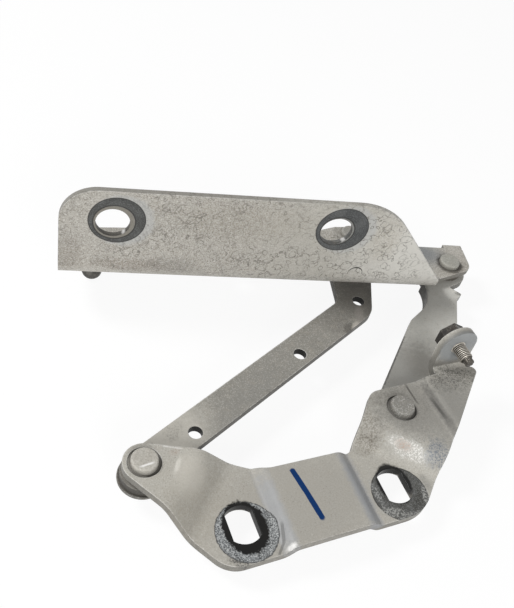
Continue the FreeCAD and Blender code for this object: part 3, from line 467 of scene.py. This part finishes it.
black_grime = (0.006, 0.006, 0.0055)
brown_dirt = (0.105, 0.088, 0.066)
bare_steel = (0.74, 0.73, 0.71)
marker_blue = (0.0, 0.023, 0.100)
cut_edge_shade = (0.115, 0.110, 0.098)
jog_shade_blue = (0.27, 0.29, 0.325)
upright, tab_way = (0.0, 0.0, 1.0), (0.0, 1.0, 0.0)
finish_sheet(
    "body_bracket", paint=(0.40, 0.385, 0.345), dirt_and_corner_shade=0.6, edge_wear_and_highlight=0.9, grain=0.35,
    prints=(
        # The front slot's print is pale and gritty, the rear slot's is dark and smooth.
        {"Crushed": (0.19, 0.20, 0.205), "Middle": millimetres(0.5, -3.1, 3.5), "Reach": 0.0125,
         "Grit": 0.95, "Ragged": 0.30},
        {"Crushed": (0.058, 0.057, 0.052), "Middle": millimetres(67.4, -3.7, 3.5), "Reach": 0.0123,
         "Grit": 0.20, "Ragged": 0.14},
    ),
    stains=(
        # Cut edges darkened as painted shade, a darker middle panel and painted blue-grey shade in its two
        # bends.
        shade_cut_edges((40.0, 10.0, 6.0), (110.0, 60.0, 15.0), cut_edge_shade, 0.75, upright),
        stain((22, 2, 7), (42, 22, 12), (0.30, 0.285, 0.255), 0.62, ragged=0.5, soft=0.5),
        stroke((50.6, 20.0, 5.2), (50.6, -18.0, 5.2), 6.5, jog_shade_blue, 0.60, soft=0.5),
        stroke((13.6, 16.0, 5.2), (13.6, -16.0, 5.2), 6.0, jog_shade_blue, 0.50, soft=0.5),
        # Front ear: a painted highlight on the slope beside its rivet, a scratch, grime and painted shade
        # in the recesses round the rivet heads, brown and pale patches.
        stain((-19.4, 24.6, 12.8), (3.2, 0.9, 3.0), (0.76, 0.74, 0.69), 0.70, turn=58.0, ragged=0.7,
              soft=0.6, grainy=0.35, rough=0.3),
        stroke((-22.5, 34.3, 13.0), (-16.0, 31.6, 13.0), 0.6, bare_steel, 0.7, ragged=0.5, grainy=0.5,
               rough=0.3),
        stain((-17.0, 11.0, 8.0), (15.0, 18.0, 8.0), (0.31, 0.28, 0.225), 0.38, turn=-35.0, ragged=0.7,
              soft=0.7, grainy=0.45),
        stain((-30.1, 28.3, 12.4), (6.9, 6.9, 0.9), (0.10, 0.094, 0.084), 0.75, ragged=0.1, soft=0.1),
        stain((83.2, 28.2, 12.4), (7.2, 7.2, 0.9), (0.03, 0.028, 0.026), 0.8, ragged=0.1, soft=0.1),
        stain((-18.8, 30.6, 13.0), (2.0, 1.4, 2.0), (0.36, 0.27, 0.22), 0.35, grainy=0.6, soft=0.5),
        stain((-14.5, 21.0, 11.5), (6.0, 9.0, 5.0), (0.54, 0.515, 0.46), 0.60, turn=-30.0, soft=0.6),
        # Rear ear: brown dirt at its root, darker primer round the rivet, black lines of dirt and painted
        # shade in the creases before the arm.
        stain((65.7, 25.1, 11.3), (5.5, 8.0, 8.0), brown_dirt, 0.58, ragged=0.5, soft=0.5, grainy=0.75),
        stain((63.2, 20.3, 4.3), (5.0, 4.5, 5.0), brown_dirt, 0.48, ragged=0.5, soft=0.5, grainy=0.7),
        stain((76.0, 35.5, 13.0), (9.0, 3.0, 4.0), brown_dirt, 0.42, ragged=0.5, soft=0.5, grainy=0.7),
        stain((94.0, 27.0, 13.0), (26.0, 19.0, 9.0), (0.20, 0.195, 0.180), 0.55, turn=-20.0, soft=0.55),
        stain((85.0, 30.0, 13.0), (13.5, 12.5, 5.0), (0.15, 0.142, 0.127), 0.50, ragged=0.3, soft=0.35,
              grainy=0.6),
        stroke((98.9, 37.5, 13.9), (99.8, 11.5, 14.3), 3.0, (0.085, 0.081, 0.074), 0.80, ragged=0.35,
               soft=0.6, grainy=0.2),
        stroke((98.7, 29.0, 13.9), (99.4, 19.0, 14.3), 1.1, black_grime, 0.70, ragged=0.35, soft=0.6),
        stroke((91.2, 39.8, 13.0), (91.5, 30.0, 13.0), 0.9, (0.05, 0.046, 0.041), 0.70, ragged=0.3,
               soft=0.5),
        # Stud arm and tab: caked dirt on the arm, a painted blue-grey reflection on the tab face, and the
        # tab's cut edges darkened as painted shade.
        stain((113.0, 37.0, 17.8), (13.0, 6.5, 6.5), (0.07, 0.066, 0.058), 0.82, ragged=0.6, soft=0.5,
              grainy=0.80, rough=0.75),
        stain((108.0, 22.0, 16.5), (12.0, 16.0, 8.0), (0.19, 0.186, 0.172), 0.40, turn=-15.0,
              ragged=0.5, soft=0.6),
        stain((115.0, 41.5, 19.6), (10.0, 2.6, 2.2), (0.15, 0.145, 0.135), 0.5, ragged=0.4, soft=0.5,
              grainy=0.4),
        stain((115.3, 42.5, 30.5), (12.0, 3.5, 12.0), (0.245, 0.26, 0.27), 0.80, ragged=0.1, soft=0.2),
        shade_cut_edges((115.3, 42.5, 32.0), (14.0, 4.0, 13.0), cut_edge_shade, 0.55, tab_way),
        # Slope from the rear pad to its ear: a pale flaked patch with a brown foot, and painted blue-grey
        # shade beside it.
        stain((80.8, -1.9, 3.5), (1.6, 4.0, 2.0), (0.16, 0.157, 0.147), 0.45, ragged=0.4, soft=0.6,
              grainy=0.4),
        stain((78.6, 10.8, 9.4), (9.4, 2.8, 5.0), (0.86, 0.85, 0.815), 0.72, turn=-44.0, ragged=0.6,
              soft=0.4, grainy=0.74, rough=0.30, raised=-1.5),
        stain((76.3, 13.6, 9.6), (3.4, 1.5, 3.0), (0.33, 0.235, 0.18), 0.75, turn=-44.0, ragged=0.6,
              soft=0.5, grainy=0.80, raised=-0.5),
        stain((87.6, 5.2, 11.1), (5.0, 6.4, 5.0), (0.135, 0.152, 0.178), 0.85, turn=-20.0, ragged=0.5,
              soft=0.4, grainy=0.70, raised=-0.6),
    ),
    late_stains=(
        # Black bands round both slots, and pale grains about the rear slot's print.
        stain((0.5, -1.3, 3.5), (8.8, 10.9, 6.0), black_grime, 1.0, ragged=0.13, soft=0.06, rough=0.35),
        stain((67.2, 1.0, 3.5), (7.2, 9.2, 6.0), black_grime, 0.98, ragged=0.07, soft=0.08, rough=0.25),
        stain((62.0, -11.5, 3.5), (6.5, 2.2, 3.0), (0.36, 0.36, 0.34), 0.75, turn=-28.0, ragged=0.5,
              grainy=0.95),
        stain((71.5, -14.0, 3.5), (5.5, 1.6, 3.0), (0.40, 0.40, 0.38), 0.75, turn=14.0, ragged=0.5,
              grainy=0.95),
        stain((77.6, -8.5, 3.5), (1.6, 5.5, 3.0), (0.42, 0.42, 0.40), 0.75, turn=-12.0, ragged=0.5,
              grainy=0.95),
        stain((57.6, -1.5, 3.5), (1.2, 7.5, 3.0), (0.34, 0.34, 0.33), 0.65, turn=4.0, ragged=0.5,
              grainy=0.95),
        # Wrench bites at the front pad's bend and rim.
        stroke((13.9, -4.1, 5.7), (12.2, -11.0, 4.4), 1.1, (0.11, 0.11, 0.105), 0.6, ragged=0.3,
               raised=-1.5),
        stroke((12.2, -11.0, 4.4), (8.9, -14.9, 3.5), 1.0, (0.10, 0.10, 0.095), 0.6, ragged=0.3,
               raised=-1.5),
        stain((13.9, -14.0, 5.6), (2.5, 1.0, 2.0), bare_steel, 0.75, turn=12.0, ragged=0.6, soft=0.5,
              rough=0.3, raised=-2.5),
        stain((-6.5, -13.6, 2.4), (4.2, 1.5, 3.0), (0.05, 0.05, 0.048), 0.8, turn=-28.0, ragged=0.5,
              grainy=0.7),
        # One plain stroke of blue paint marker down the middle panel.
        stroke((26.1, 16.0, 7.0), (28.3, 2.6, 7.0), 2.4, marker_blue, 1.0, ragged=0.06, soft=0.08,
               rough=0.5),
        stroke((27.9, 5.0, 7.0), (29.6, -7.6, 7.0), 2.4, marker_blue, 1.0, ragged=0.06, soft=0.08,
               rough=0.5),
    ))

# Guide stud and nut: an M6 steel stud with a fluted dog point, screwed through the tab and locked behind.
# Both are zinc plated steel gone brown; the thread's crests are rubbed bright, its roots hold black dirt.
stud_line = Vector((0.1153, 0.0, 0.0283))
stud_places = {"back": 0.0511, "tab": 0.0440, "chamfer": 0.03725, "dog": 0.0364, "tip": 0.0342}
crest_radius, root_radius, shank_radius, dog_radius = 0.00295, 0.00242, 0.0035, 0.0021
thread_pitch, edge_round = 0.00084, 0.0004
flute_count, flute_depth, tip_slope = 6, 0.00035, 0.7
crest_lift, flank_slope = 1.25, 1.5
stud_sides, turn_rows, hair = 72, 14, 0.00001


def thread_radius(y, angle):
    """Radius of the stud's outside at one place along it and one angle round it."""
    if y >= stud_places["tab"]:
        return shank_radius - max(0.0, y - (stud_places["back"] - edge_round))
    if y < stud_places["dog"]:
        flute = max(0.0, math.cos(flute_count * angle)) * flute_depth
        return dog_radius - flute - max(0.0, stud_places["tip"] + edge_round - y) * tip_slope
    turned = ((stud_places["tab"] - y) / thread_pitch + angle / (2 * math.pi)) % 1.0
    ridge = min(1.0, max(0.0, crest_lift - abs(2.0 * turned - 1.0) * flank_slope))
    outside = root_radius + (crest_radius - root_radius) * ridge
    narrowing = dog_radius + max(0.0, y - stud_places["dog"])
    return min(outside, narrowing)


thread_run = stud_places["tab"] - stud_places["dog"]
thread_rows = int(thread_run / thread_pitch * turn_rows)
rows = [stud_places["back"], stud_places["back"] - edge_round, stud_places["tab"] + hair]
rows += [stud_places["tab"] - hair - (thread_run - 2 * hair) * row / thread_rows
         for row in range(thread_rows + 1)]
rows += [stud_places["dog"] - hair, stud_places["tip"] + edge_round, stud_places["tip"]]
stud_mesh = bmesh.new()
stud_rings = []
for y in rows:
    ring = []
    for side in range(stud_sides):
        angle = 2 * math.pi * side / stud_sides
        radius = thread_radius(y, angle)
        ring.append(stud_mesh.verts.new((stud_line.x + radius * math.cos(angle), y,
                                         stud_line.z + radius * math.sin(angle))))
    stud_rings.append(ring)
for near, far in zip(stud_rings, stud_rings[1:]):
    for side in range(stud_sides):
        after = (side + 1) % stud_sides
        stud_mesh.faces.new((near[side], near[after], far[after], far[side]))
stud_mesh.faces.new(reversed(stud_rings[0]))
stud_mesh.faces.new(stud_rings[-1])
bmesh.ops.recalc_face_normals(stud_mesh, faces=stud_mesh.faces)
threaded_mesh = bpy.data.meshes.new("Guide_stud_thread")
stud_mesh.to_mesh(threaded_mesh)
stud_mesh.free()
threaded_stud = bpy.data.objects.new("Guide_stud_thread", threaded_mesh)
bpy.context.scene.collection.objects.link(threaded_stud)
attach(threaded_stud, "body_side")
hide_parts("guide_stud")


plating_rounding, plating_relief = 0.0003, 0.00006


def make_plating_group():
    """Old zinc plating: dull and clouded, with brown bloom in patches and bright rubbed edges."""
    group, given, result = new_group(
        "Old_plating",
        [("Plate", "Color", (0.5, 0.5, 0.5, 1.0)), ("Bloom", "Color", (0.1, 0.08, 0.06, 1.0)),
         ("Blooming", "Float", 0.4), ("Rubbed", "Float", 0.3)],
        [("Colour", "Color"), ("Roughness", "Float"), ("Metallic", "Float"), ("Height", "Float"),
         ("Rounded", "Vector")])
    clouds = noise(group, 240.0, 4.0, 0.6)
    fine = noise(group, 1900.0, 3.0, 0.65)
    bloom = calculate(group, "MULTIPLY", ramp(group, clouds, 0.38, 0.62), given["Blooming"])
    plated = blend_colour(group, ramp(group, fine, 0.42, 0.66, 0.0, 0.35), given["Plate"],
                          (0.22, 0.21, 0.19))
    bloomed = blend_colour(group, bloom, plated, given["Bloom"])
    rounding = add_node(group, "ShaderNodeBevel", samples=4)
    rounding.inputs["Radius"].default_value = plating_rounding
    flat = add_node(group, "ShaderNodeNewGeometry").outputs["True Normal"]
    edge = ramp(group, measure(group, "DOT_PRODUCT", rounding.outputs[0], flat), 0.995, 0.88)
    edge = calculate(group, "MULTIPLY", edge, given["Rubbed"])
    feed(group, result["Colour"], blend_colour(group, edge, bloomed, (0.72, 0.70, 0.66)))
    feed(group, result["Roughness"], calculate(group, "ADD", ramp(group, bloom, 0.0, 0.6, 0.30, 0.68),
                                               ramp(group, fine, 0.3, 0.7, 0.0, 0.12)))
    feed(group, result["Metallic"], ramp(group, bloom, 0.1, 0.7, 0.9, 0.15))
    feed(group, result["Height"], calculate(group, "ADD", clouds, fine))
    feed(group, result["Rounded"], rounding.outputs[0])
    return group


plating = make_plating_group()


def finish_plated(piece, name, plate, bloom, blooming, rubbed, overlay=None):
    """Give a plated piece its finish; an overlay darkens or brightens the colour by a mask of its own."""
    material, tree, shader = new_finish(name)
    coat = place_group(tree, plating, Plate=plate, Bloom=bloom, Blooming=blooming, Rubbed=rubbed)
    colour = coat["Colour"]
    if overlay is not None:
        colour = overlay(tree, colour)
    feed(tree, shader.inputs["Base Color"], colour)
    feed(tree, shader.inputs["Roughness"], coat["Roughness"])
    feed(tree, shader.inputs["Metallic"], coat["Metallic"])
    press_relief(tree, shader, plating_relief, strength=0.4, height=coat["Height"],
                 rounded=coat["Rounded"])
    wear_finish(piece, material)


packed_root, packed_top, rubbed_foot, rubbed_crest = 0.00258, 0.00274, 0.00280, 0.00292


def darken_roots(tree, colour):
    """Bright crests and black roots, told apart by the distance from the stud's own line."""
    flatten = measure(tree, "MULTIPLY", own_place(tree), (1.0, 0.0, 1.0))
    out = measure(tree, "DISTANCE", flatten, tuple(stud_line))
    packed = ramp(tree, out, packed_root, packed_top, 0.85, 0.0)
    rubbed = ramp(tree, out, rubbed_foot, rubbed_crest, 0.0, 0.55)
    rooted = blend_colour(tree, packed, colour, (0.035, 0.031, 0.026))
    return blend_colour(tree, rubbed, rooted, (0.66, 0.63, 0.57))


finish_plated(threaded_stud, "Worn_stud", plate=(0.42, 0.39, 0.34), bloom=(0.19, 0.16, 0.125),
              blooming=0.65, rubbed=0.6, overlay=darken_roots)
finish_plated(nodes["guide_nut"], "Brown_nut", plate=(0.035, 0.031, 0.027), bloom=(0.014, 0.012, 0.010),
              blooming=0.85, rubbed=0.12)

# Long link: a flat steel bar with an elbow and three gauge holes, eyed at both ends.
# It is primed like the brackets; grease and road dirt, and a painted shadow of the bonnet flange, darken it
# towards the elbow.
link_grime = (0.10, 0.094, 0.084)
gauge_holes = ((-6.2, 40.6), (53.7, 70.4), (97.8, 96.7))
finish_sheet(
    "long_link", paint=(0.222, 0.214, 0.192), dirt_and_corner_shade=0.6, edge_wear_and_highlight=0.9, grain=0.3,
    stains=(
        # Grime round the front eye, a paler stretch beside it and a darker one beyond.
        stain((-31.0, 29.0, 6.0), (13.0, 13.0, 6.0), link_grime, 0.8, ragged=0.3, soft=0.3, grainy=0.2),
        stain((-22.0, 38.0, 7.5), (24.0, 14.0, 8.0), (0.48, 0.46, 0.412), 0.80, turn=37.0, ragged=0.3,
              soft=0.6),
        stain((20.0, 48.0, 7.5), (26.0, 8.0, 8.0), (0.20, 0.198, 0.186), 0.35, turn=37.0, ragged=0.6,
              soft=0.6, grainy=0.4),
        # A dark elbow in painted shadow, grime that stops short of it, one bright rub, a painted shade
        # beside the elbow and loose spots.
        stain((100.0, 100.0, 7.5), (15.0, 12.0, 9.0), (0.115, 0.108, 0.097), 0.62, turn=50.0,
              ragged=0.4, soft=0.6),
        stain((104.0, 92.0, 7.0), (16.0, 4.0, 6.0), (0.12, 0.115, 0.105), 0.55, turn=60.0, ragged=0.4,
              soft=0.6),
        stain((84.5, 80.5, 7.2), (3.4, 2.2, 3.0), link_grime, 0.85, turn=35.0, ragged=0.6, soft=0.3,
              grainy=0.3),
        stain((81.0, 82.5, 7.5), (6.0, 6.0, 3.0), link_grime, 0.45, turn=35.0, ragged=0.7, soft=0.5,
              grainy=0.7),
        stain((88.6, 81.6, 7.5), (3.6, 1.4, 2.0), (0.50, 0.47, 0.42), 0.7, turn=40.0, ragged=0.6,
              soft=0.4, grainy=0.3, rough=0.3),
        stain((94.0, 88.0, 7.5), (2.0, 6.0, 3.0), (0.27, 0.25, 0.23), 0.5, turn=-20.0, ragged=0.5,
              soft=0.5),
        stain((-14.5, 43.0, 7.5), (5.0, 3.0, 3.0), link_grime, 0.35, turn=37.0, ragged=0.7, soft=0.5,
              grainy=0.8),
        stain((31.0, 53.0, 7.5), (2.2, 1.2, 2.0), link_grime, 0.4, turn=37.0, ragged=0.6, soft=0.5,
              grainy=0.6),
    ),
    late_stains=(
        # Cut edges darkened and the gauge holes' walls painted black, both as painted shade, and a darker
        # patch over the front eye.
        shade_cut_edges((40.0, 80.0, 5.8), (110.0, 90.0, 10.0), (0.085, 0.081, 0.072), 0.85, upright),
        *(stain((x, y, 5.8), (3.8, 3.8, 9.0), black_grime, 0.95, ragged=0.05, soft=0.1,
                edge_of=upright)
          for x, y in gauge_holes),
        stain((-31.0, 29.0, 4.5), (12.5, 12.5, 5.0), (0.045, 0.041, 0.036), 0.75, ragged=0.25,
              soft=0.25, grainy=0.2),
    ))

# Short link: a flat waisted bar that carries the bonnet bracket behind both ears.
# It keeps the cleanest primer, darkened with painted shade where it runs in between the sheets.
finish_sheet(
    "short_link", paint=(0.52, 0.512, 0.474), dirt_and_corner_shade=0.5, edge_wear_and_highlight=0.8, grain=0.2,
    stains=(
        # Cut edges darkened as painted shade, and painted shade where the link runs under the rear ear.
        shade_cut_edges((120.0, 70.0, 5.8), (70.0, 70.0, 10.0), (0.10, 0.097, 0.088), 0.85, upright),
        stain((98.0, 50.0, 7.5), (25.0, 16.0, 7.0), (0.20, 0.196, 0.183), 0.75, turn=50.0, ragged=0.3,
              soft=0.6),
        stain((112.0, 52.0, 7.5), (9.0, 12.0, 7.0), (0.185, 0.175, 0.155), 0.50, turn=20.0, ragged=0.3,
              soft=0.6),
        stain((140.0, 92.0, 7.5), (16.0, 12.0, 7.0), (0.155, 0.150, 0.140), 0.15, turn=50.0, ragged=0.4,
              soft=0.6),
        # Painted shade on the turned lip under the flange, a rub on the stop lug, black dirt at its root
        # and a black front edge.
        stain((139.5, 101.0, 4.0), (2.2, 7.0, 4.5), (0.035, 0.033, 0.028), 0.6, turn=-10.0, ragged=0.4,
              soft=0.4, grainy=0.3),
        stain((155.5, 94.5, 7.0), (3.0, 2.2, 3.0), (0.62, 0.60, 0.55), 0.6, ragged=0.6, soft=0.4,
              grainy=0.5, rough=0.3),
        stain((156.5, 92.0, 6.0), (2.4, 1.6, 4.0), black_grime, 0.8, ragged=0.7, soft=0.3, grainy=0.6),
        stroke((110.2, 70.9, 7.0), (84.7, 45.7, 7.0), 1.7, (0.045, 0.044, 0.041), 0.9, ragged=0.35,
               soft=0.4, grainy=0.25),
    ))

# Bonnet bracket: one pressed angle whose web turns on the links and whose flange takes two bonnet bolts.
# Washers have printed dark rings round both holes, and dried water has left thin curled outlines.
flange_turn = math.radians(-12.676)
pivot_place = Vector((158.02636, 108.89496))


def on_flange(along, out, up):
    """A place on the bonnet bracket, in millimetres from its own pivot, in the hinge's space."""
    return (pivot_place.x + along * math.cos(flange_turn) - out * math.sin(flange_turn),
            pivot_place.y + along * math.sin(flange_turn) + out * math.cos(flange_turn), up)


def make_ring_group():
    """Thin outlines of dried drops: loops 3 to 7 mm wide, bent out of round, gathered in patches."""
    group, given, result = new_group("Water_rings", [("Shown", "Float", 0.74)], [("Mask", "Float")])
    bend_reach = (0.0042, 0.0042, 0.0042)
    bend = add_node(group, "ShaderNodeTexNoise")
    bend.inputs["Scale"].default_value = 330.0
    bend.inputs["Detail"].default_value = 2.0
    feed(group, bend.inputs["Vector"], own_place(group))
    swing = measure(group, "SUBTRACT", bend.outputs["Color"], (0.5, 0.5, 0.5))
    shift = measure(group, "MULTIPLY", swing, bend_reach)
    bent = measure(group, "ADD", own_place(group), shift)
    shown = None
    for scale, size, width in ((150.0, 0.42, 0.050), (255.0, 0.40, 0.075)):
        drops = add_node(group, "ShaderNodeTexVoronoi")
        drops.inputs["Scale"].default_value = scale
        feed(group, drops.inputs["Vector"], bent)
        away = calculate(group, "ABSOLUTE", calculate(group, "SUBTRACT", drops.outputs["Distance"], size))
        loop = ramp(group, away, 0.0, width, 1.0, 0.0)
        loop = calculate(group, "MULTIPLY", loop, ramp(group, noise(group, scale, 3.0), 0.36, 0.56))
        shown = loop if shown is None else calculate(group, "MAXIMUM", shown, loop)
    patches = ramp(group, noise(group, 34.0, 2.0), 0.36, 0.60, 0.25, 1.0)
    feed(group, result["Mask"], calculate(group, "MULTIPLY", calculate(group, "MULTIPLY", shown, patches),
                                          given["Shown"]))
    return group


water_rings = make_ring_group()
flange_face, flange_degrees = -23.5, -12.7
across_flange = (math.sin(-flange_turn), math.cos(-flange_turn), 0.0)
flange_front = (-across_flange[0], -across_flange[1], 0.0)
front_hole, rear_hole = (-22.2, 125.3, 47.9), (75.4, 103.4, 49.9)
halo_grey = (0.43, 0.445, 0.45)
finish_sheet(
    "bonnet_bracket", paint=(0.43, 0.408, 0.365), dirt_and_corner_shade=0.5, edge_wear_and_highlight=0.9, grain=0.75,
    rings=water_rings,
    stains=(
        # Cut edges of web and flange darkened as painted shade, a painted shadow of the flange on the web,
        # grime and painted shade round the short link's rivet head, and brown dirt.
        shade_cut_edges((60.0, 115.0, 8.0), (140.0, 80.0, 8.0), cut_edge_shade, 0.7, upright),
        shade_cut_edges((60.0, 115.0, 45.0), (140.0, 40.0, 25.0), (0.185, 0.178, 0.160), 0.85, across_flange),
        stain((147.0, 119.0, 13.0), (11.0, 8.0, 2.0), (0.15, 0.162, 0.175), 0.75, turn=-30.0,
              ragged=0.2, soft=0.7),
        stain((158.3, 108.3, 12.8), (7.3, 7.3, 0.8), (0.035, 0.033, 0.030), 0.8, ragged=0.15,
              soft=0.15),
        stain((160.0, 104.0, 13.0), (12.0, 8.0, 2.0), brown_dirt, 0.35, ragged=0.5, soft=0.6,
              grainy=0.6),
        # The flange is paler to the rear, with brown stains low along its bend and a few higher up.
        stain(on_flange(-78, flange_face, 45), (34.0, 8.0, 30.0), (0.47, 0.455, 0.41), 0.55,
              turn=flange_degrees, ragged=0.4, soft=0.6),
        stain(on_flange(-30, flange_face, 40), (34.0, 10.0, 24.0), (0.66, 0.645, 0.60), 0.90,
              turn=flange_degrees, ragged=0.4, soft=0.6),
        stain((-12.0, 123.0, 23.5), (16.0, 6.0, 4.0), (0.15, 0.11, 0.08), 0.50, turn=flange_degrees,
              ragged=0.6, soft=0.5, grainy=0.75),
        stain((6.0, 119.0, 24.0), (12.0, 6.0, 5.0), (0.15, 0.14, 0.125), 0.50, turn=flange_degrees,
              ragged=0.6, soft=0.5, grainy=0.7),
        stain((-40.0, 129.5, 28.0), (6.0, 5.0, 10.0), (0.18, 0.15, 0.12), 0.45, turn=flange_degrees,
              ragged=0.6, soft=0.5, grainy=0.7),
        stain((-27.0, 126.5, 25.0), (5.0, 4.0, 3.0), brown_dirt, 0.30, turn=flange_degrees, ragged=0.6,
              soft=0.5, grainy=0.8),
        stain((100.0, 97.5, 46.0), (7.0, 5.0, 12.0), (0.27, 0.225, 0.155), 0.42, turn=flange_degrees,
              ragged=0.6, soft=0.5, grainy=0.8),
        stain((35.0, 112.0, 52.0), (30.0, 5.0, 9.0), (0.25, 0.22, 0.165), 0.32, turn=flange_degrees,
              ragged=0.6, soft=0.5, grainy=0.8),
        # Bolt holes: a pale halo outside each washer's print, walls darkened as painted shade and one
        # bright nick in each.
        stain((-18.2, 124.5, 49.2), (13.7, 8.0, 13.6), halo_grey, 0.45, turn=flange_degrees, ragged=0.1,
              soft=0.08),
        stain((80.4, 102.3, 51.0), (13.6, 8.0, 13.6), halo_grey, 0.45, turn=flange_degrees, ragged=0.1,
              soft=0.08),
        stain(front_hole, (9.8, 9.8, 9.8), (0.17, 0.155, 0.125), 0.8, ragged=0.1, soft=0.1),
        stain(rear_hole, (8.8, 8.8, 8.8), (0.20, 0.20, 0.19), 0.8, ragged=0.1, soft=0.1),
        stain(front_hole, (9.0, 9.0, 9.0), (0.045, 0.042, 0.038), 0.85, ragged=0.3,
              edge_of=across_flange),
        stain(rear_hole, (9.0, 9.0, 9.0), (0.055, 0.054, 0.052), 0.85, ragged=0.3,
              edge_of=across_flange),
        stain((-17.0, 124.5, 42.3), (1.1, 3.0, 0.8), bare_steel, 0.7, ragged=0.6, soft=0.6, rough=0.3,
              edge_of=across_flange),
        stain((80.6, 103.0, 44.4), (1.1, 3.0, 0.8), bare_steel, 0.7, ragged=0.6, soft=0.6, rough=0.3,
              edge_of=across_flange),
    ),
    prints=(
        {"Crushed": (0.072, 0.073, 0.070), "Middle": millimetres(-20.5, 125.0, 49.2), "Reach": 0.0125,
         "Bore_middle": millimetres(-21.6, 125.2, 48.2), "Bore_reach": 0.0090,
         "Face_way": flange_front, "Grit": 0.12, "Ragged": 0.04},
        {"Crushed": (0.080, 0.083, 0.084), "Middle": millimetres(77.9, 102.85, 51.0), "Reach": 0.0125,
         "Bore_middle": millimetres(75.8, 103.3, 50.1), "Bore_reach": 0.0080,
         "Face_way": flange_front, "Grit": 0.12, "Ragged": 0.04},
    ))

# Half-moon punch: a blunt tool has bitten a thin curved notch into the flange under its rear bolt hole.
# The notch is widest at its crown, runs out at both ends, and is drawn black for dirt in it and as painted
# shade in its hollow.
notch_radius, notch_crown, notch_end, notch_skin = 3.6, 0.62, 0.16, 0.03
notch_root, notch_taper = 0.15, 2.2
notch_start, notch_sweep, notch_steps = math.radians(-12), math.radians(204), 30
notch_middle = (-62.9, flange_face, 24.9)
notch_mesh = bmesh.new()
profiles = []
for number in range(notch_steps + 1):
    share = number / notch_steps
    angle = notch_start + notch_sweep * share
    half_width = (notch_end + (notch_crown - notch_end) * math.sin(math.pi * share) ** notch_taper) / 2
    profile = []
    inner, outer = notch_radius - half_width, notch_radius + half_width
    for radius, out in ((inner, notch_root), (inner, -notch_skin),
                        (outer, -notch_skin), (outer, notch_root)):
        place = on_flange(notch_middle[0] + radius * math.cos(angle), notch_middle[1] + out,
                          notch_middle[2] + radius * math.sin(angle))
        profile.append(notch_mesh.verts.new(millimetres(*place)))
    profiles.append(profile)
for before, after in zip(profiles, profiles[1:]):
    for side in range(4):
        turn_side = (side + 1) % 4
        notch_mesh.faces.new((before[side], before[turn_side], after[turn_side], after[side]))
notch_mesh.faces.new(profiles[0])
notch_mesh.faces.new(reversed(profiles[-1]))
bmesh.ops.recalc_face_normals(notch_mesh, faces=notch_mesh.faces)
half_moon_mesh = bpy.data.meshes.new("Half_moon_punch")
notch_mesh.to_mesh(half_moon_mesh)
notch_mesh.free()
half_moon = bpy.data.objects.new("Half_moon_punch", half_moon_mesh)
bpy.context.scene.collection.objects.link(half_moon)
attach(half_moon, "bonnet_side")
finish_plated(half_moon, "Packed_dirt_and_shade", plate=(0.035, 0.033, 0.030), bloom=(0.012, 0.012, 0.011),
              blooming=0.9, rubbed=0.1)

# Pivot rivets and washers: four shouldered rivets, upset hot through the sheets with a washer each.
# They were dipped with the brackets, so their heads are primer grey with a rubbed rim.
finish_sheet(
    "long_body_rivet", paint=(0.43, 0.41, 0.365), dirt_and_corner_shade=0.45, edge_wear_and_highlight=0.6,
    stains=(
        stain((-31.0, 29.5, 15.5), (4.0, 3.2, 2.0), (0.29, 0.275, 0.245), 0.4, ragged=0.7, soft=0.5,
              grainy=0.5),
    ),
    late_stains=(
        stroke((-33.4, 26.0, 15.5), (-28.2, 26.6, 15.5), 0.8, bare_steel, 0.85, ragged=0.2, soft=0.4,
               rough=0.25),
    ))
for rivet, paint in (("short_body_rivet", (0.20, 0.194, 0.177)),
                     ("short_bonnet_rivet", (0.31, 0.305, 0.268)),
                     ("long_bonnet_rivet", (0.33, 0.32, 0.29))):
    finish_sheet(rivet, paint=paint, dirt_and_corner_shade=0.6, edge_wear_and_highlight=0.6)
for pivot in ("long_body", "short_body", "short_bonnet", "long_bonnet"):
    finish_sheet(pivot + "_washer", paint=(0.045, 0.041, 0.035), dirt_and_corner_shade=0.8, edge_wear_and_highlight=0.35)

# Pivot bushes and spacer: plain steel sleeves that the links turn on, packed with grease.
# They are coloured dark brown, so what shows between the sheets is nearly black.
for sleeve in ("long_body_bush", "short_body_bush", "short_bonnet_bush", "long_bonnet_spacer"):
    finish_plated(nodes[sleeve], "Greased_" + sleeve, plate=(0.20, 0.185, 0.16), bloom=(0.07, 0.06, 0.048),
                  blooming=0.8, rubbed=0.3)

# Ball stud: a turned steel ball on a collared shank, riveted through the web for the gas strut.
# It is zinc plated, and the strut's greasy socket has turned the ball dark grey.
finish_plated(nodes["ball_stud"], "Ball_stud_plating", plate=(0.12, 0.115, 0.105),
              bloom=(0.035, 0.032, 0.028), blooming=0.75, rubbed=0.35)
